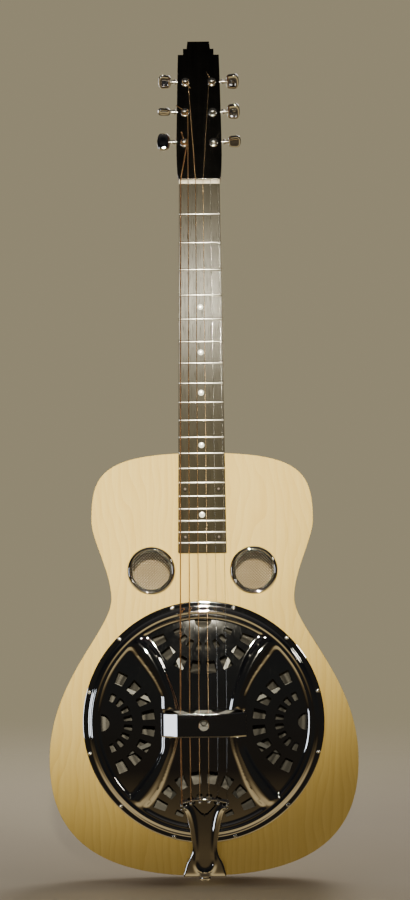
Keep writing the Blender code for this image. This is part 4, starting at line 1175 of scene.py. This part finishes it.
def make_post(number):
    """A post with a waisted top and a string hole, and the worm wheel screwed to its foot."""
    profile = drawn(POST_TOP, [(0, 0), (1.6, 0), (2.4, -0.3), (2.9, -1), (3, -2.2), (2.7, -3.6),
                               (2.6, -5.2), (2.9, -7), (3, -8.8)])
    profile += [(POST_RADIUS, WHEEL_TOP), (0, WHEEL_TOP)]
    post = turned(f"post_{number}_spindle", profile, 40, machine(number))
    hole = wires("hole", [[(-0.01, 0, POST_HOLE_Z), (0.01, 0, POST_HOLE_Z)]], 0.0009, 3, machine(number))
    boolean(post, "DIFFERENCE", hole)
    dress(post, "machine", f"post_{number}", stands_for=[f"string_post_{number}"])

    lean = WORM_PITCH / tau / WORM_PITCH_RADIUS * WHEEL_THICKNESS / 2
    tooth = tau / WHEEL_TEETH
    flanks = mirrored([(-0.31, 0.0039), (-0.27, 0.00405), (-0.2, 0.0045), (-0.13, 0.00485),
                       (-0.08, 0.0049)])
    rows = []
    for share in (-1, -0.5, 0, 0.5, 1):
        row = []
        z = WORM_Z + share * WHEEL_THICKNESS / 2
        for i in range(WHEEL_TEETH):
            for part, radius in flanks:
                angle = pi / 2 + tooth * (i + part) + share * lean / WHEEL_PITCH_RADIUS
                row.append((radius * cos(angle), radius * sin(angle), z))
        rows.append(row)
    wheel = rod(f"worm_wheel_{number}", rows, machine(number))
    dress(wheel, "brass", f"post_{number}", smooth=30)
    place = machine(number) @ shift(0, 0, WHEEL_TOP - WHEEL_THICKNESS) @ spin(pi, "X")
    head = screw_mesh(f"wheel_screw_{number}_head", 0.0024, 0.001, 0.0006)
    dress(new_piece(f"wheel_screw_{number}", head, place), "screw", f"post_{number}")


def worm_radius(x, angle):
    """The thread's radius: a flat crest, sloping flanks and a flat root, in shares of a turn."""
    flank_foot, flank_width = 0.2975, 0.1855
    phase = (x / WORM_PITCH - angle / tau) % 1.0
    from_crest = min(phase, 1 - phase)
    share = min(1.0, max(0.0, (flank_foot - from_crest) / flank_width))
    return WORM_ROOT + (WORM_OUTER - WORM_ROOT) * share


def make_knob(number, outward):
    """A worm shaft with its collar, and the button pressed on its end."""
    place = machine(number) @ shift(0, WORM_Y, WORM_Z)
    sides = 32
    rows = []
    stations = [(-0.0052, 0.0011), (-0.0049, WORM_ROOT)]
    stations += [(WORM_LENGTH * (i / 72 - 0.5), None) for i in range(73)]
    stations += [(0.0028, WORM_ROOT), (0.0108, WORM_ROOT)]
    stations += mm([(11.2, 2.4), (11.7, 3), (12.7, 3.1), (13.7, 3), (14.2, 2.4), (14.6, 2.1), (15.8, 2.1),
                    (17.2, 2.3), (18.6, 2.4)])
    for x, fixed in stations:
        row = []
        for angle in angles(sides):
            radius = fixed or worm_radius(outward * x, angle)
            row.append((outward * x, radius * cos(angle), radius * sin(angle)))
        rows.append(row)
    shaft = rod(f"worm_shaft_{number}", rows, place)
    dress(shaft, "machine", f"knob_{number}", stands_for=[f"tuner_knob_{number}"])
    turn = place @ spin(radians(KNOB_ANGLES[number]), "X")
    dress(button(f"tuner_button_{number}", outward, turn), "chrome", f"knob_{number}")


def button(name, outward, place):
    """A cast button: a rounded keystone, wide at its outer edge, with a shallow dish in each face."""
    start, length, half, thick = 0.0174, 0.0153, 0.011, 0.0031
    count, sides = 34, 48
    rows = []
    for n in range(count + 1):
        share = (1 - cos(pi * n / count)) / 2
        corner = max(0.0, 1 - abs(2 * share - 1) ** 5.0) ** 0.42
        wide = half * corner * (0.86 + 0.14 * share)
        deep = thick * max(0.0, 1 - abs(2 * share - 1) ** 4.0) ** 0.5
        wide, deep = max(wide, 0.0016), max(deep, 0.0009)
        row = []
        for angle in angles(sides):
            y = copysign(abs(cos(angle)) ** 0.7, cos(angle)) * wide
            z = copysign(abs(sin(angle)) ** 0.8, sin(angle)) * deep
            x = start + length * share - 0.0012 * share * (y / half) ** 2
            z *= 1 - 0.2 * exp(-(y / 0.0055) ** 2 - ((share - 0.52) / 0.3) ** 2)
            row.append((outward * x, y, z))
        rows.append(row)
    return rod(name, rows, place)


# ---- stage

def make_stage():
    """A pale floor that thins out behind the guitar, in a room whose reflections are dark."""
    floor_z = min(cad_box[0][2], cad_box[1][2])
    made, tree, shader = new_material("pale_floor")
    tone = mix(noise(tree, 3.0), (0.56, 0.5, 0.4), (0.61, 0.55, 0.45))
    feed(shader, {"Base Color": tone, "Roughness": 0.85})
    away = add(tree, "SeparateXYZ", {0: coordinates(tree)}).outputs["Y"]
    fade = add(tree, "MapRange", {"Value": away, "From Min": 0.35, "From Max": 1.9},
               interpolation_type="SMOOTHSTEP").outputs["Result"]
    clear = add(tree, "BsdfTransparent", {}).outputs[0]
    thinned = add(tree, "MixShader", {0: fade, 1: shader.outputs[0], 2: clear}).outputs[0]
    feed(tree.nodes["Material Output"], {"Surface": thinned})
    work = bmesh.new()
    corners = [(-6, -6, 0), (6, -6, 0), (6, 2, 0), (-6, 2, 0)]
    work.faces.new([work.verts.new(corner) for corner in corners])
    floor = new_piece("floor", from_bmesh("floor", work), shift(0, 0, floor_z - 0.0002))
    floor.data.materials.append(made)
    floor.visible_glossy = False
    make_room()

    key = bpy.data.lights.new("key", "SPOT")
    key.energy = 900
    key.color = (1.0, 0.92, 0.7)
    key.shadow_soft_size = 0.045
    key.spot_size = radians(19.5)
    key.spot_blend = 1.0
    aim(key, (0.0, -3.2, 0.68), (-0.12, -TOP_Z, 0.37))
    soft_light("window", (-2.5, -1.55, -0.1), (0, -0.05, 0.0), 1.0, 9, (0.86, 0.92, 1.0))
    soft_light("side", (2.3, -2.0, 1.3), (0, -0.05, 0.1), 0.35, 6, (1.0, 0.93, 0.8))
    soft_light("rim", (0.6, 1.6, 1.7), (0, 0, 0.3), 1.0, 16, (1.0, 0.95, 0.88))
    soft_light("back_fill", (-1.3, 1.9, 0.6), (0, 0, 0.2), 1.2, 10, (1.0, 0.96, 0.9))


def make_room():
    """One tone for the camera, a faint warm glow on matt things, and dark walls in reflections."""
    world = bpy.data.worlds.new("studio")
    bpy.context.scene.world = world
    world.use_nodes = True
    tree = world.node_tree
    ambient = tree.nodes["Background"]
    feed(ambient, {"Color": (1.0, 0.9, 0.74, 1), "Strength": 0.2})
    seen = add(tree, "Background", {"Color": (0.3, 0.26, 0.165, 1), "Strength": 1.0})
    room = add(tree, "TexCoord", {}).outputs["Generated"]
    height = add(tree, "SeparateXYZ", {0: room}).outputs["Z"]
    stops = [(0.0, (0.04, 0.03, 0.02)), (0.06, (0.08, 0.06, 0.035)), (0.13, (0.52, 0.4, 0.2)),
             (0.23, (0.4, 0.3, 0.15)), (0.31, (0.1, 0.07, 0.032)), (0.39, (0.014, 0.011, 0.008)),
             (0.5, (0.012, 0.012, 0.011)), (0.7, (0.006, 0.006, 0.007)), (1.0, (0.06, 0.055, 0.05))]
    walls = ramp(span(height, -1.0, 1.0, 0.0, 1.0), stops)
    reflected = add(tree, "Background", {"Color": walls, "Strength": 1.0})
    rays = add(tree, "LightPath", {})
    shown = ambient
    for ray, background in (("Is Glossy Ray", reflected), ("Is Camera Ray", seen)):
        inputs = {0: rays.outputs[ray], 1: shown.outputs[0], 2: background.outputs[0]}
        shown = add(tree, "MixShader", inputs)
    feed(tree.nodes["World Output"], {"Surface": shown.outputs[0]})


def soft_light(name, place, target, size, power, colour):
    light = bpy.data.lights.new(name, "AREA")
    light.energy = power
    light.size = size
    light.color = colour
    aim(light, place, target)


def aim(light, place, target):
    turn = (Vector(target) - Vector(place)).to_track_quat("-Z", "Y")
    new_piece(light.name, light, Matrix.Translation(place) @ turn.to_matrix().to_4x4())


def make_camera():
    """A camera level with the guitar's middle, square to its face and rolled with its slight lean."""
    camera = bpy.data.cameras.new("camera")
    camera.sensor_fit = "VERTICAL"
    camera.sensor_height = 36
    distance = 3.0
    lens_per_metre = 33.845  # keeps the guitar's size in the picture at any distance
    camera.lens = lens_per_metre * distance
    made = new_piece("camera", camera, Matrix.Identity(4))
    made.location = (0.0041, -TOP_Z - distance, 0.3212)
    made.rotation_euler = (radians(90), radians(0.48), 0)
    bpy.context.scene.camera = made


make_camera()
make_body()
make_screens()
make_resonator()
make_coverplate()
make_handrest()
make_tailpiece()
make_neck()
make_strings()
make_machines()
make_stage()
